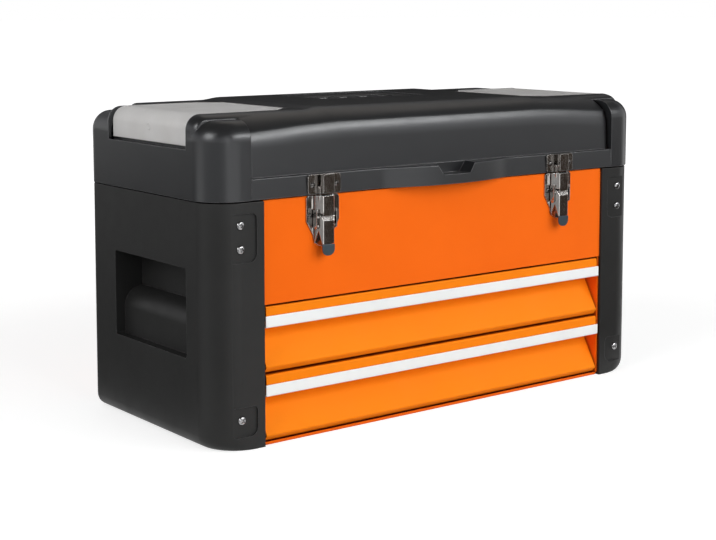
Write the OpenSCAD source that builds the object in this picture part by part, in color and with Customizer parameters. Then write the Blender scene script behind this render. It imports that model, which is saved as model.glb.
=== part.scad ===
// Portable tool box with two drawers, a moulded lid with two covered bins and a fold-down handle.
// Millimetres. X runs left to right, the drawers face -Y and Z is up.
// The origin is the middle of the underside of the base.

/* [Body] */
// Overall width, over the lid
box_w = 500; // [414:1:624]
// Depth over the end caps
body_d = 207; // [172:1:260]
// Height from the base to the lid seam
body_h = 206; // [186:1:260]
// Thickness of the folded steel sheet
sheet_t = 1; // [0.6:0.1:1.5]

/* [End caps] */
// Wall of the moulded end caps
cap_t = 2.5; // [2:0.1:3.5]
// Width of the cap flange over the front
cap_flange_w = 49; // [44:1:60]
// Radius of the front upright corner
cap_front_r = 28; // [16:1:34]
// Radius of the rear upright corner
cap_back_r = 8; // [4:1:20]
// Radius of the lower edge of the end
cap_foot_r = 12; // [4:1:24]
// Distance of the cap screws from the end
cap_screw_in = 26.4; // [22:0.2:30]
// Heights of the lower cap screws above the base
cap_screw_low = 25.4; // [18:0.2:40]
// Depth of the screw pads
pad_depth = 1.2; // [0.6:0.1:1.6]

/* [Hand grips] */
// Length of the grip recess along the end
grip_w = 120; // [90:1:130]
// Height of the grip recess
grip_h = 75.4; // [60:0.2:90]
// Height of the recess floor above the base
grip_z = 73.3; // [50:0.1:90]
// Depth of the recess at its top, where the fingers hook
grip_deep = 27; // [22:1:32]
// Depth of the recess at its floor
grip_shallow = 9; // [5:0.5:14]
// Roundness of the step between the two depths
grip_round = 18; // [8:1:18]

/* [Drawers] */
// Height of one drawer front
drawer_h = 57; // [50:0.5:64]
// Gap between neighbouring fronts
drawer_gap = 0.9; // [0.6:0.1:2]
// Height of the flat band above the handle strip
top_band_h = 8.8; // [6:0.2:12]
// Height of the handle strip
strip_h = 9.9; // [8:0.1:14]
// Thickness of the handle strip
strip_t = 1.2; // [0.8:0.1:2]
// Depth of the finger space under the strip
pull_d = 16; // [12:0.5:20]
// Height of the upright foot of a front
front_foot_h = 7; // [4:0.5:10]
// Height of the side runners
runner_h = 26; // [18:0.5:30]
// Space from the tray to the side panel
runner_space = 12.5; // [9:0.5:16]

/* [Lid] */
// How far the lid reaches over each end of the body
lid_overhang = 2; // [1:0.1:3]
// Height of the lid above the seam
lid_h = 72; // [66:1:90]
// Wall of the lid
lid_t = 2.6; // [2.2:0.1:3.2]
// Height of the rim band
rim_h = 18; // [16:0.5:24]
// Length of the end blocks
block_w = 36.5; // [30:0.5:44]
// Set-back of the middle of the front behind the rim
front_set = 5.5; // [3:0.5:7]
// Radius of the front top edge in the middle
front_top_r = 18; // [10:1:24]
// Radius of the front top edge of the end blocks
block_top_r = 28; // [16:1:30]
// Radius of the rear top edge
back_top_r = 14; // [6:1:20]
// Radius of the end top edge
end_top_r = 13; // [8:1:16]
// Length of the slope from the raised middle of the top down to a cover
plateau_slope = 21; // [15:1:40]
// Drop from the raised middle to the covers
plateau_drop = 2.2; // [0:0.2:4]
// Length of the thumb bulge on the rim
bulge_w = 142; // [100:1:160]
// How far the thumb bulge stands out
bulge_out = 13; // [6:0.5:16]
// Width of the thumb notch at its floor
notch_w = 31; // [20:1:40]
// Width of the thumb notch at its top
notch_top_w = 46; // [30:1:56]
// Depth of the thumb notch
notch_d = 9; // [5:0.5:12]

/* [Covers and bins] */
// Length of a cover from the end inwards
cover_len = 111; // [90:1:116]
// Distance from a cover's side to the front and back of the lid
cover_margin = 38.7; // [34:0.1:50]
// Length of the cut corners
cover_cut = 15; // [8:0.5:20]
// Thickness of a cover
cover_t = 2; // [1.5:0.1:2.5]
// Height of the flap's lower edge above the seam
flap_z = 41.3; // [34:0.2:50]
// Outer radius of the cover hinge
cover_hinge_r = 2.6; // [2.2:0.1:3.2]
// Depth of the bins
bin_depth = 34; // [20:1:38]
// Wall of the bins
bin_t = 1.5; // [1.2:0.1:2]

/* [Carry handle] */
// Width of the carry handle
handle_w = 120; // [100:1:130]
// Length of the handle from its pivot to its far edge
handle_reach = 66; // [56:1:70]
// Thickness of the handle
handle_t = 11; // [9:0.5:13]
// Width of each arm
handle_arm_w = 12; // [9:0.5:14]
// Depth of the grip bar
handle_grip_d = 24; // [18:1:28]
// Distance of the grip bar's far edge from the back of the lid
handle_back = 27; // [24:1:40]

/* [Latches] */
// Distance of each latch from the end of the lid
latch_in = 111; // [100:1:120]
// Width of the latch plates
latch_w = 34; // [32:0.5:36]
// Thickness of the latch plates
latch_t = 1.2; // [0.8:0.1:1.4]
// Height of the latch base below the seam
latch_drop = 44; // [43:0.5:48]
// Radius of the latch pins
latch_pin_r = 1.25; // [1:0.05:1.4]

/* [Rear hinges] */
// Distance of each rear hinge from the end of the lid
hinge_in = 100; // [90:1:120]
// Width of a rear hinge
hinge_w = 60; // [40:1:70]
// Outer radius of the hinge barrel
hinge_r = 3; // [2.6:0.1:3.4]
// Radius of the hinge pin
hinge_pin_r = 1.5; // [1.2:0.1:1.7]

/* [Hidden] */
$fn = 48;
over = 1;                 // how far a cut runs past the faces it opens
gap = 0.3;                // clearance between pieces that do not touch
run = 0.05;               // radial clearance of a turning pin
left = -1;
right = 1;

orange = [0.98, 0.42, 0.09];
black = [0.16, 0.16, 0.17];
white = [0.93, 0.93, 0.92];
steel = [0.70, 0.71, 0.73];
chrome = [0.80, 0.80, 0.82];
clear = [0.80, 0.79, 0.77, 0.6];

// Body planes
cap_x = box_w / 2 - lid_overhang;             // outer face of the cap
cap_in_x = cap_x - cap_flange_w;              // free edge of the cap flange
cap_y = body_d / 2;                           // outer face of the cap flange
panel_y = cap_y - cap_t;                      // outer face of the front and rear panels
flange_y = panel_y - sheet_t;                 // outer face of the side panel flanges
web_x = cap_in_x - 0.5;                       // outer face of the side panel
inner_x = web_x - sheet_t;                    // inner face of the side panel
panel_top = body_h - 2 * gap;
cap_low = cap_t + gap;                        // space inside the caps, above their bottom wall
cap_high = body_h - cap_t - gap;
cap_screw_x = cap_x - cap_screw_in;
flange_x = cap_screw_x + 4.4;                 // free edge of the sheet flanges behind the caps
cap_screw_zs = [cap_screw_low, body_h - 39, body_h - 19.2];
cap_hole_r = 2.1;
screw_r = 2;

// Drawer planes
first_z = sheet_t * 2 + 0.7;                  // bottom of the lower front
pitch = drawer_h + drawer_gap;
panel_z = first_z + 2 * pitch;                // bottom of the fixed front panel
front_x = inner_x - 1;                        // half the length of a drawer front
drawer_rivet_r = 1.2;
tray_x = inner_x - runner_space;              // outer face of the tray wall
tray_y0 = -panel_y + pull_d + sheet_t;        // front of the tray
tray_y1 = flange_y - 12;                      // back of the tray
strip_z = drawer_h - top_band_h - strip_h;    // bottom of the strip above the front's bottom
runner_mid = strip_z + 1.7 - runner_h / 2;    // middle of the runners above the front's bottom
tray_wall_h = drawer_h - 11;                  // height of the tray walls

// Lid planes
lid_z = body_h + gap;                         // underside of the rim
rim_top = body_h + rim_h;
lid_x = box_w / 2;
top_z = body_h + lid_h;
deck_z = top_z - plateau_drop;                // top of the covers
block_x = lid_x - block_w;
cover_x = lid_x - cover_len;                  // inner edge of a cover
cover_half = cap_y - cover_margin;            // half the width of a cover
plateau_half = cover_x - plateau_slope;       // half the length of the raised middle
deck_gap = cover_t + gap;                     // depth of the cover's seat
frame_t = 4;                                  // thickness of the frame under a cover
bin_lip = 3;                                  // width of the bin's flange
bin_x0 = cover_x + 14;
bin_x1 = lid_x - end_top_r - bin_lip;
bin_y = cover_half - 8;
cover_pin_x = cover_x + cover_hinge_r + gap;
cover_straight = 2 * cover_hinge_r + 3 * gap; // length of a cover's straight sides by its hinge
cover_pin_z = deck_z - cover_hinge_r;
cover_pin_r = 1.25;
cover_pin_len = cover_half * 2 - cover_cut * 2 + 11;

// Handle planes
handle_top = top_z - 1.3;
handle_pin_z = handle_top - handle_t / 2;
handle_far_y = cap_y - handle_back;
handle_pin_y = handle_far_y - handle_reach;
handle_pin_r = 2;
well_z = handle_top - handle_t - gap;         // floor of the handle's well
well_x = handle_w / 2 + 0.4;
well_y0 = handle_pin_y - handle_t / 2 - 1.5;
well_y1 = handle_far_y + 1.5;

// Latch points: out from the panel, height
latch_x = lid_x - latch_in;
lever_pin = [5, body_h - 18.5];
link_pin = [4.6, body_h - 26];
latch_out = 10;                               // how far the lever stands off the panel
hat_half = 5.3;                               // half the width of the lever's face
hat_foot = 9.5;                               // half the width of the lever at its foot
hat_foot_y = 2;                               // how far that foot stands off the panel
lip_half = 5.6;                               // half the width of the catch lip

// Rear hinge axis
hinge_x = lid_x - hinge_in;
hinge_y = cap_y + hinge_r + 0.2;
hinge_z = body_h;

// ---- Helpers ----

// Extrudes an outline drawn as (x, z) from y0 to y1
module along_y(y0, y1) {
    translate([0, y1, 0]) rotate([90, 0, 0]) linear_extrude(y1 - y0) children();
}

// Extrudes an outline drawn as (y, z) from x0 to x1
module along_x(x0, x1) {
    translate([x0, 0, 0]) rotate([90, 0, 90]) linear_extrude(x1 - x0) children();
}

// What a corner at (x, y) loses when it is rounded; sx and sy point out of the corner
module corner_cut(x, y, r, sx, sy) {
    difference() {
        translate([x + (sx > 0 ? -r : -over), y + (sy > 0 ? -r : -over)]) square(r + over);
        translate([x - sx * r, y - sy * r]) circle(r);
    }
}

// Block between two opposite corners
module block(low, high) {
    translate(low) cube(high - low);
}

// Draws the children for the left or the right side
module on_side(side) {
    if (side == right) children();
    else mirror([1, 0, 0]) children();
}

function unit(v) = v / norm(v);
function left_of(a, b) = let (d = unit(b - a)) [-d[1], d[0]];
function mitred(p, i, t) =
    let (last = len(p) - 1,
         before = i == 0 ? left_of(p[0], p[1]) : left_of(p[i - 1], p[i]),
         after = i == last ? before : left_of(p[i], p[i + 1]))
    p[i] + t * (before + after) / (1 + before * after);

// Outline of a sheet of thickness t laid on the left of an open line of points
function folded(p, t) = concat(p, [for (i = [len(p) - 1 : -1 : 0]) mitred(p, i, t)]);

// Domed head on z = 0 with a shank below it and a cross slot on top
module domed_screw(head_r, head_h, shank_r, shank_l, slotted = true) {
    ball_r = (head_r * head_r + head_h * head_h) / (2 * head_h);
    difference() {
        intersection() {
            translate([0, 0, head_h - ball_r]) sphere(ball_r);
            cylinder(r = head_r + over, h = head_h + over);
        }
        if (slotted) for (turn = [0, 90]) rotate(turn)
            translate([-head_r * 0.55, -head_r * 0.13, head_h * 0.45])
                cube([head_r * 1.1, head_r * 0.26, head_h]);
    }
    translate([0, 0, -shank_l]) cylinder(r = shank_r, h = shank_l + head_h * 0.2);
}

// ---- Sheet-metal body ----

module base_pan() {
    x = inner_x - gap;
    y = flange_y - gap;
    color(orange) union() {
        block([-x, -y, 0], [x, y, sheet_t]);
        block([-x, -y, 0], [x, -y + sheet_t, first_z - gap]);
        block([-x, y - sheet_t, 0], [x, y, 12]);
        for (side = [left, right]) on_side(side)
            block([x - sheet_t, -y, 0], [x, y, first_z - gap]);
    }
}

module side_panel(side) {
    bottom = sheet_t + gap;
    color(orange) on_side(side) difference() {
        union() {
            block([inner_x, -flange_y, bottom], [web_x, flange_y, panel_top]);
            for (y = [-flange_y, flange_y - sheet_t])
                block([inner_x, y, cap_low], [flange_x, y + sheet_t, cap_high]);
        }
        for (z = cap_screw_zs) translate([cap_screw_x, 0, z]) rotate([90, 0, 0])
            cylinder(r = cap_hole_r, h = body_d, center = true);
    }
}

module front_panel() {
    x = inner_x - gap;
    fold = 12;
    color(orange) difference() {
        union() {
            block([-flange_x, -panel_y, panel_z], [flange_x, -flange_y, cap_high]);
            block([-web_x, -panel_y, panel_z], [web_x, -flange_y, panel_top]);
            block([-x, -panel_y, panel_z], [x, -panel_y + fold, panel_z + sheet_t]);
            block([-x, -panel_y, panel_top - sheet_t], [x, -panel_y + fold, panel_top]);
        }
        for (side = [left, right], z = [cap_screw_zs[1], cap_screw_zs[2]])
            translate([side * cap_screw_x, -panel_y, z]) rotate([90, 0, 0])
                cylinder(r = cap_hole_r, h = 4 * sheet_t, center = true);
    }
}

module back_panel() {
    x = inner_x - gap;
    fold = 12;
    color(orange) difference() {
        union() {
            block([-flange_x, flange_y, cap_low], [flange_x, panel_y, cap_high]);
            block([-web_x, flange_y, sheet_t + gap], [web_x, panel_y, panel_top]);
            block([-x, panel_y - fold, panel_top - sheet_t], [x, panel_y, panel_top]);
        }
        for (side = [left, right], z = cap_screw_zs)
            translate([side * cap_screw_x, panel_y, z]) rotate([90, 0, 0])
                cylinder(r = cap_hole_r, h = 4 * sheet_t, center = true);
    }
}

module compartment_floor() {
    x = inner_x - gap;
    y = flange_y - gap;
    z = panel_z + sheet_t;
    edge = 12;
    color(orange) difference() {
        block([-x, -y, z], [x, y, z + edge]);
        block([-x + sheet_t, -y - over, z + sheet_t], [x - sheet_t, y + over, z + edge + over]);
    }
}

// ---- End caps ----

module cap_plan(inset) {
    y = cap_y - inset;
    difference() {
        translate([cap_in_x - (inset > 0 ? over : 0), -y])
            square([cap_flange_w - inset + (inset > 0 ? over : 0), 2 * y]);
        corner_cut(cap_x - inset, -y, cap_front_r - inset, 1, -1);
        corner_cut(cap_x - inset, y, cap_back_r - inset, 1, 1);
    }
}

module cap_body(inset) {
    intersection() {
        translate([0, 0, inset]) linear_extrude(body_h - 2 * inset) cap_plan(inset);
        along_y(-body_d, body_d) difference() {
            translate([0, inset]) square([cap_x - inset, body_h]);
            corner_cut(cap_x - inset, inset, cap_foot_r - inset, 1, -1);
        }
    }
}

// Side view of the grip recess as (depth from the end, height above its floor)
module grip_profile(inset) {
    step = grip_deep - grip_shallow;
    difference() {
        translate([-inset, -inset]) square([grip_deep + 2 * inset, grip_h + 2 * inset]);
        translate([grip_shallow + inset, -inset - over])
            square([step + over, grip_h - 51.7 + over + inset]);
        translate([grip_deep, grip_h - 51.7]) circle(grip_round - inset);
        translate([grip_deep, -inset - over])
            square([inset + over, grip_h - 51.7 + grip_round + over]);
    }
}

module grip_volume(inset, reach) {
    translate([cap_x, 0, grip_z]) mirror([1, 0, 0])
        along_y(-grip_w / 2 - inset, grip_w / 2 + inset) union() {
            grip_profile(inset);
            translate([-reach, -inset]) square([reach + over, grip_h + 2 * inset]);
        }
}

// Sunk seat of one or more cap screws between two heights
module screw_pad(z0, z1) {
    pad_in = 15;
    corner = 6;
    along_y(-cap_y - over, -cap_y + pad_depth) difference() {
        translate([cap_screw_x - pad_in, z0]) square([pad_in + cap_screw_in, z1 - z0]);
        corner_cut(cap_screw_x - pad_in, z0, corner, -1, -1);
        corner_cut(cap_screw_x - pad_in, z1, corner, -1, 1);
    }
}

module cap_pads() {
    screw_pad(cap_screw_zs[0] - 14, cap_screw_zs[0] + 11);
    screw_pad(cap_screw_zs[1] - 11, cap_screw_zs[2] + 9.4);
}

module end_cap(side) {
    color(black) on_side(side) difference() {
        union() {
            difference() {
                cap_body(0);
                cap_body(cap_t);
                // seat for the sheet flanges, which reach into the round corners
                block([cap_in_x - over, -panel_y, cap_t], [flange_x + gap, panel_y, body_h - cap_t]);
            }
            intersection() {
                cap_body(0);
                grip_volume(cap_t, 0);
            }
        }
        grip_volume(0, over);
        cap_pads();
        mirror([0, 1, 0]) cap_pads();
        for (z = cap_screw_zs) translate([cap_screw_x, 0, z]) rotate([90, 0, 0])
            cylinder(r = cap_hole_r, h = body_d + over, center = true);
    }
}

module end_cap_screws() {
    color(steel) for (side = [left, right], face = [left, right], z = cap_screw_zs)
        translate([side * cap_screw_x, face * (cap_y - pad_depth), z])
            rotate([-face * 90, 0, 0]) domed_screw(3.6, 2, screw_r, 7);
}

// ---- Runners and drawers ----

// Channel fixed to a side panel, around height z
module fixed_runner(side, z) {
    half = runner_h / 2;
    reach = runner_space - 3;
    on_side(side) difference() {
        block([inner_x - reach, tray_y0 + gap, z - half], [inner_x, tray_y1 + 2, z + half]);
        block([inner_x - reach - over, tray_y0 + gap - over, z - half + sheet_t],
              [inner_x - sheet_t, tray_y1 + 2 + over, z + half - sheet_t]);
    }
}

// Channel on the tray that runs inside the fixed one
module moving_rail(side, z) {
    half = runner_h / 2 - sheet_t - gap;
    far = inner_x - sheet_t - gap;
    on_side(side) difference() {
        block([tray_x, tray_y0, z - half], [far, tray_y1, z + half]);
        block([tray_x + sheet_t, tray_y0 - over, z - half + sheet_t],
              [far + over, tray_y1 + over, z + half - sheet_t]);
    }
}

function drawer_z(level) = first_z + level * pitch;

module runners(level) {
    color(steel) for (side = [left, right]) fixed_runner(side, drawer_z(level) + runner_mid);
}

module drawer_rails(level) {
    color(steel) for (side = [left, right]) moving_rail(side, drawer_z(level) + runner_mid);
}

module drawer_front(level) {
    back = -panel_y + pull_d;
    line = [
        [-panel_y + 10, drawer_h],
        [-panel_y, drawer_h],
        [-panel_y, strip_z + strip_t],
        [back, strip_z + strip_t],
        [back, strip_z - 5],
        [-panel_y, front_foot_h],
        [-panel_y, 0],
        [back + 12, 0]
    ];
    color(orange) translate([0, 0, drawer_z(level)]) difference() {
        along_x(-front_x, front_x) polygon(folded(line, sheet_t));
        at_rivets() cylinder(r = drawer_rivet_r + run, h = 8 * sheet_t, center = true);
    }
}

module drawer_strip(level) {
    line = [
        [-panel_y, strip_z + strip_h],
        [-panel_y, strip_z + strip_t],
        [-panel_y + pull_d * 0.6, strip_z + strip_t]
    ];
    color(white) translate([0, 0, drawer_z(level)])
        along_x(-front_x, front_x) polygon(folded(line, -strip_t));
}

// Places the rivets that hold a tray to its front, pointing into the tray
module at_rivets() {
    for (x = [-0.8, -0.27, 0.27, 0.8])
        translate([x * tray_x, tray_y0 + sheet_t, strip_z - 2]) rotate([-90, 0, 0]) children();
}

module drawer_tray(level) {
    color(steel) translate([0, 0, drawer_z(level)]) difference() {
        block([-tray_x, tray_y0, sheet_t], [tray_x, tray_y1, tray_wall_h + sheet_t]);
        block([-tray_x + sheet_t, tray_y0 + sheet_t, 2 * sheet_t],
              [tray_x - sheet_t, tray_y1 - sheet_t, tray_wall_h + sheet_t + over]);
        at_rivets() cylinder(r = drawer_rivet_r + run, h = 8 * sheet_t, center = true);
    }
}

module drawer_rivets(level) {
    color(steel) translate([0, 0, drawer_z(level)]) at_rivets()
        domed_screw(2.4, 1, drawer_rivet_r, 2 * sheet_t, false);
}

// ---- Lid ----

// Side outline of the lid as (x, z), shrunk by inset
module lid_side(inset) {
    x = lid_x - inset;
    z0 = inset > 0 ? lid_z - over : lid_z;
    r = end_top_r - inset;
    difference() {
        polygon([
            [-x, z0], [x, z0], [x, deck_z - inset], [cover_x, deck_z - inset],
            [plateau_half, top_z - inset], [-plateau_half, top_z - inset],
            [-cover_x, deck_z - inset], [-x, deck_z - inset]
        ]);
        corner_cut(x, deck_z - inset, r, 1, 1);
        corner_cut(-x, deck_z - inset, r, -1, 1);
    }
}

// Front-to-back outline as (y, z), with its front face at y0 and a front edge radius
module lid_section(y0, front_r, inset) {
    z0 = inset > 0 ? lid_z - over : lid_z;
    y1 = cap_y - inset;
    difference() {
        translate([y0 + inset, z0]) square([y1 - y0 - inset, top_z - inset - z0]);
        corner_cut(y0 + inset, top_z - inset, front_r - inset, -1, 1);
        corner_cut(y1, top_z - inset, back_top_r - inset, 1, 1);
    }
}

module lid_plan(inset) {
    x = lid_x - inset;
    y = cap_y - inset;
    difference() {
        translate([-x, -y]) square([2 * x, 2 * y]);
        for (side = [left, right]) {
            corner_cut(side * x, -y, cap_front_r + 2 - inset, side, -1);
            corner_cut(side * x, y, cap_back_r + 2 - inset, side, 1);
        }
    }
}

// Plan of the thumb bulge: a flat arc that stands bulge_out before the rim
module bulge_plan(inset) {
    half = bulge_w / 2;
    r = (half * half + bulge_out * bulge_out) / (2 * bulge_out);
    intersection() {
        translate([0, r - cap_y - bulge_out]) circle(r - inset, $fn = 240);
        translate([-half, -cap_y - bulge_out - over]) square([bulge_w, bulge_out + over + 10]);
    }
}

module lid_blocks(inset) {
    z0 = inset > 0 ? lid_z - over : lid_z;
    intersection() {
        translate([0, 0, z0]) linear_extrude(lid_h) lid_plan(inset);
        along_y(-body_d, body_d) lid_side(inset);
        union() {
            along_x(-lid_x, -block_x - inset) lid_section(-cap_y, block_top_r, inset);
            along_x(block_x + inset, lid_x) lid_section(-cap_y, block_top_r, inset);
        }
    }
}

module lid_middle(inset) {
    intersection() {
        along_y(-body_d, body_d) lid_side(inset);
        along_x(-block_x - inset, block_x + inset)
            lid_section(-cap_y + front_set, front_top_r, inset);
    }
}

module lid_rim(inset) {
    z0 = inset > 0 ? lid_z - over : lid_z;
    translate([0, 0, z0]) linear_extrude(rim_top - inset - z0) lid_plan(inset);
}

// Thumb notch in the rim, or with an inset its surrounding wall
module thumb_notch(inset) {
    floor_z = rim_top - notch_d - inset;
    along_y(-cap_y - bulge_out - over, -cap_y + front_set + inset)
        polygon([
            [-notch_w / 2 - inset, floor_z], [notch_w / 2 + inset, floor_z],
            [notch_top_w / 2 + inset, rim_top + over], [-notch_top_w / 2 - inset, rim_top + over]
        ]);
}

// Plan of a cover, grown by a clearance; slack moves the cut corners away from the cover
module cover_plan(grow, slack) {
    near = cover_half - cover_cut + grow;
    far = cover_half + grow;
    x0 = cover_x + cover_straight - slack;
    polygon([
        [cover_x - grow, -near], [x0, -near], [x0 + cover_cut, -far], [lid_x + over, -far],
        [lid_x + over, far], [x0 + cover_cut, far], [x0, near], [cover_x - grow, near]
    ]);
}

// Everything inside the cover's plan and above z
module cover_zone(grow, z, slack = 0) {
    translate([0, 0, z]) linear_extrude(top_z - z) cover_plan(grow, slack);
}

module cover_seat() {
    difference() {
        cover_zone(gap, body_h + flap_z - gap, 1.4);
        along_y(-body_d, body_d) lid_side(deck_gap);
    }
    translate([cover_pin_x, 0, cover_pin_z]) rotate([90, 0, 0])
        cylinder(r = cover_hinge_r + gap, h = 2 * (cover_half - cover_cut + gap), center = true);
}

module bin_frame() {
    intersection() {
        cover_zone(gap + lid_t, body_h + flap_z - lid_t);
        along_y(-body_d, body_d) difference() {
            lid_side(deck_gap - 0.01);
            lid_side(deck_gap + frame_t);
        }
    }
}

module bin_opening() {
    seat_z = deck_z - deck_gap;
    block([bin_x0, -bin_y, seat_z - frame_t - over], [bin_x1, bin_y, seat_z + over]);
    block([bin_x0 - bin_lip, -bin_y - bin_lip, seat_z - bin_t],
          [bin_x1 + bin_lip, bin_y + bin_lip, seat_z + over]);
}

module handle_well(inset) {
    floor_z = well_z - inset;
    block([-well_x - inset, well_y0 - inset, floor_z],
          [well_x + inset, well_y1 + inset, top_z + (inset > 0 ? -lid_t / 2 : over)]);
}

module lid_shell() {
    color(black) difference() {
        union() {
            difference() {
                union() {
                    lid_rim(0);
                    lid_blocks(0);
                    lid_middle(0);
                }
                difference() {
                    union() {
                        lid_rim(lid_t);
                        lid_blocks(lid_t);
                        lid_middle(lid_t);
                    }
                    thumb_notch(lid_t);
                }
            }
            handle_well(lid_t);
            for (side = [left, right]) on_side(side) bin_frame();
        }
        handle_well(0);
        thumb_notch(0);
        for (side = [left, right]) on_side(side) {
            cover_seat();
            bin_opening();
            translate([cover_pin_x, 0, cover_pin_z]) rotate([90, 0, 0])
                cylinder(r = cover_pin_r + run, h = cover_pin_len + gap, center = true);
            translate([well_x - over, handle_pin_y, handle_pin_z]) rotate([0, 90, 0])
                cylinder(r = handle_pin_r + run, h = lid_t + 2 * over);
        }
    }
}

// The bulge in front of the rim, a hollow moulding that opens downwards
module thumb_rest() {
    color(black) intersection() {
        difference() {
            translate([0, 0, lid_z]) linear_extrude(rim_top - lid_z) bulge_plan(0);
            difference() {
                translate([0, 0, lid_z - over])
                    linear_extrude(rim_top - lid_t - lid_z + over) bulge_plan(lid_t);
                thumb_notch(lid_t);
            }
            thumb_notch(0);
        }
        block([-bulge_w, -cap_y - bulge_out - over, 0], [bulge_w, -cap_y, top_z]);
    }
}

module bin(side) {
    seat_z = deck_z - deck_gap;
    x0 = bin_x0 + gap;
    x1 = bin_x1 - gap;
    y = bin_y - gap;
    floor_z = seat_z - bin_depth;
    color(black) on_side(side) {
        difference() {
            union() {
                block([x0, -y, floor_z], [x1, y, seat_z]);
                block([x0 - bin_lip, -y - bin_lip, seat_z - bin_t], [x1 + bin_lip, y + bin_lip, seat_z]);
            }
            block([x0 + bin_t, -y + bin_t, floor_z + bin_t], [x1 - bin_t, y - bin_t, seat_z + over]);
        }
        divider_top = seat_z - 2;
        block([x0, -bin_t / 2, floor_z], [x1, bin_t / 2, divider_top]);
        block([(x0 + x1 - bin_t) / 2, -y, floor_z], [(x0 + x1 + bin_t) / 2, y, divider_top]);
    }
}

module cover(side) {
    near = cover_half - cover_cut;
    color(clear) on_side(side) difference() {
        union() {
            intersection() {
                cover_zone(0, body_h + flap_z);
                along_y(-body_d, body_d) difference() {
                    lid_side(0);
                    lid_side(cover_t);
                    translate([0, lid_z - over]) square([cover_pin_x, lid_h + 2 * over]);
                }
            }
            translate([cover_pin_x, 0, cover_pin_z]) rotate([90, 0, 0])
                cylinder(r = cover_hinge_r, h = 2 * near, center = true);
        }
        translate([cover_pin_x, 0, cover_pin_z]) rotate([90, 0, 0])
            cylinder(r = cover_pin_r + run, h = cover_pin_len + over, center = true);
    }
}

module cover_pins() {
    color(steel) for (side = [left, right])
        translate([side * cover_pin_x, 0, cover_pin_z]) rotate([90, 0, 0])
            cylinder(r = cover_pin_r, h = cover_pin_len, center = true);
}

module carry_handle() {
    half = handle_w / 2;
    arm_in = half - handle_arm_w;
    grip_y = handle_far_y - handle_grip_d;
    corner = 10;
    finger_r = 14;
    finger_pitch = (2 * arm_in) / 4;
    z0 = handle_top - handle_t;
    color(black) difference() {
        union() {
            translate([0, 0, z0]) linear_extrude(handle_t) difference() {
                translate([-half, handle_pin_y]) square([handle_w, handle_reach]);
                translate([-arm_in, handle_pin_y - over]) square([2 * arm_in, grip_y - handle_pin_y + over]);
                corner_cut(half, handle_far_y, corner, 1, 1);
                corner_cut(-half, handle_far_y, corner, -1, 1);
                for (i = [-1.5 : 1 : 1.5])
                    translate([i * finger_pitch, grip_y - finger_r + 2.5]) circle(finger_r);
            }
            for (side = [left, right]) on_side(side)
                translate([arm_in, handle_pin_y, handle_pin_z]) rotate([0, 90, 0])
                    cylinder(r = handle_t / 2, h = handle_arm_w);
        }
        translate([0, handle_pin_y, handle_pin_z]) rotate([0, 90, 0])
            cylinder(r = handle_pin_r + run, h = handle_w + over, center = true);
    }
}

module handle_pins() {
    color(steel) for (side = [left, right]) on_side(side)
        translate([handle_w / 2 - handle_arm_w + 1, handle_pin_y, handle_pin_z])
            rotate([0, 90, 0]) cylinder(r = handle_pin_r, h = handle_arm_w + lid_t - 0.6);
}

// ---- Latches: local x across, y out from the front panel, z up ----

module at_latch(side) {
    translate([side * latch_x, -panel_y, 0]) mirror([0, 1, 0]) children();
}

// Hat-shaped cross-section as (x, y): a face at y = latch_out and two slanting sides
module hat_plan() {
    line = [[-hat_foot, hat_foot_y], [-hat_half, latch_out], [hat_half, latch_out], [hat_foot, hat_foot_y]];
    polygon(folded(line, -latch_t * 0.8));
}

module latch_base(side) {
    z1 = body_h - 0.4;
    z0 = body_h - latch_drop;
    shoulder_z = body_h - 22;
    foot_r = 10;
    half = latch_w / 2;
    ear_x = 3.6;
    ear_r = 2.8;
    color(chrome) at_latch(side) difference() {
        union() {
            along_y(0, latch_t) difference() {
                union() {
                    polygon([
                        [-half, z1], [-half, shoulder_z], [-foot_r, z0 + foot_r],
                        [foot_r, z0 + foot_r], [half, shoulder_z], [half, z1]
                    ]);
                    translate([0, z0 + foot_r]) circle(foot_r);
                }
                corner_cut(-half, z1, 3, -1, 1);
                corner_cut(half, z1, 3, 1, 1);
            }
            for (edge = [left, right]) on_side(edge) {
                block([ear_x, 0, lever_pin[1] - ear_r], [ear_x + 1, lever_pin[0], lever_pin[1] + ear_r]);
                translate([ear_x, lever_pin[0], lever_pin[1]]) rotate([0, 90, 0])
                    cylinder(r = ear_r, h = 1);
            }
        }
        translate([0, lever_pin[0], lever_pin[1]]) rotate([0, 90, 0])
            cylinder(r = latch_pin_r + run, h = latch_w, center = true);
        for (edge = [left, right]) translate([edge * 13.6, 0, body_h - 17]) rotate([90, 0, 0])
            cylinder(r = 1.6, h = 4 * latch_t, center = true);
    }
}

module latch_rivets() {
    color(steel) for (side = [left, right]) at_latch(side) for (edge = [left, right])
        translate([edge * 13.6, latch_t, body_h - 17]) rotate([-90, 0, 0])
            domed_screw(2.4, 1.4, 1.5, latch_t - 0.1);
}

module lever_pins() {
    color(steel) for (side = [left, right]) at_latch(side)
        translate([0, lever_pin[0], lever_pin[1]]) rotate([0, 90, 0])
            cylinder(r = latch_pin_r, h = 18.4, center = true);
}

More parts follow.
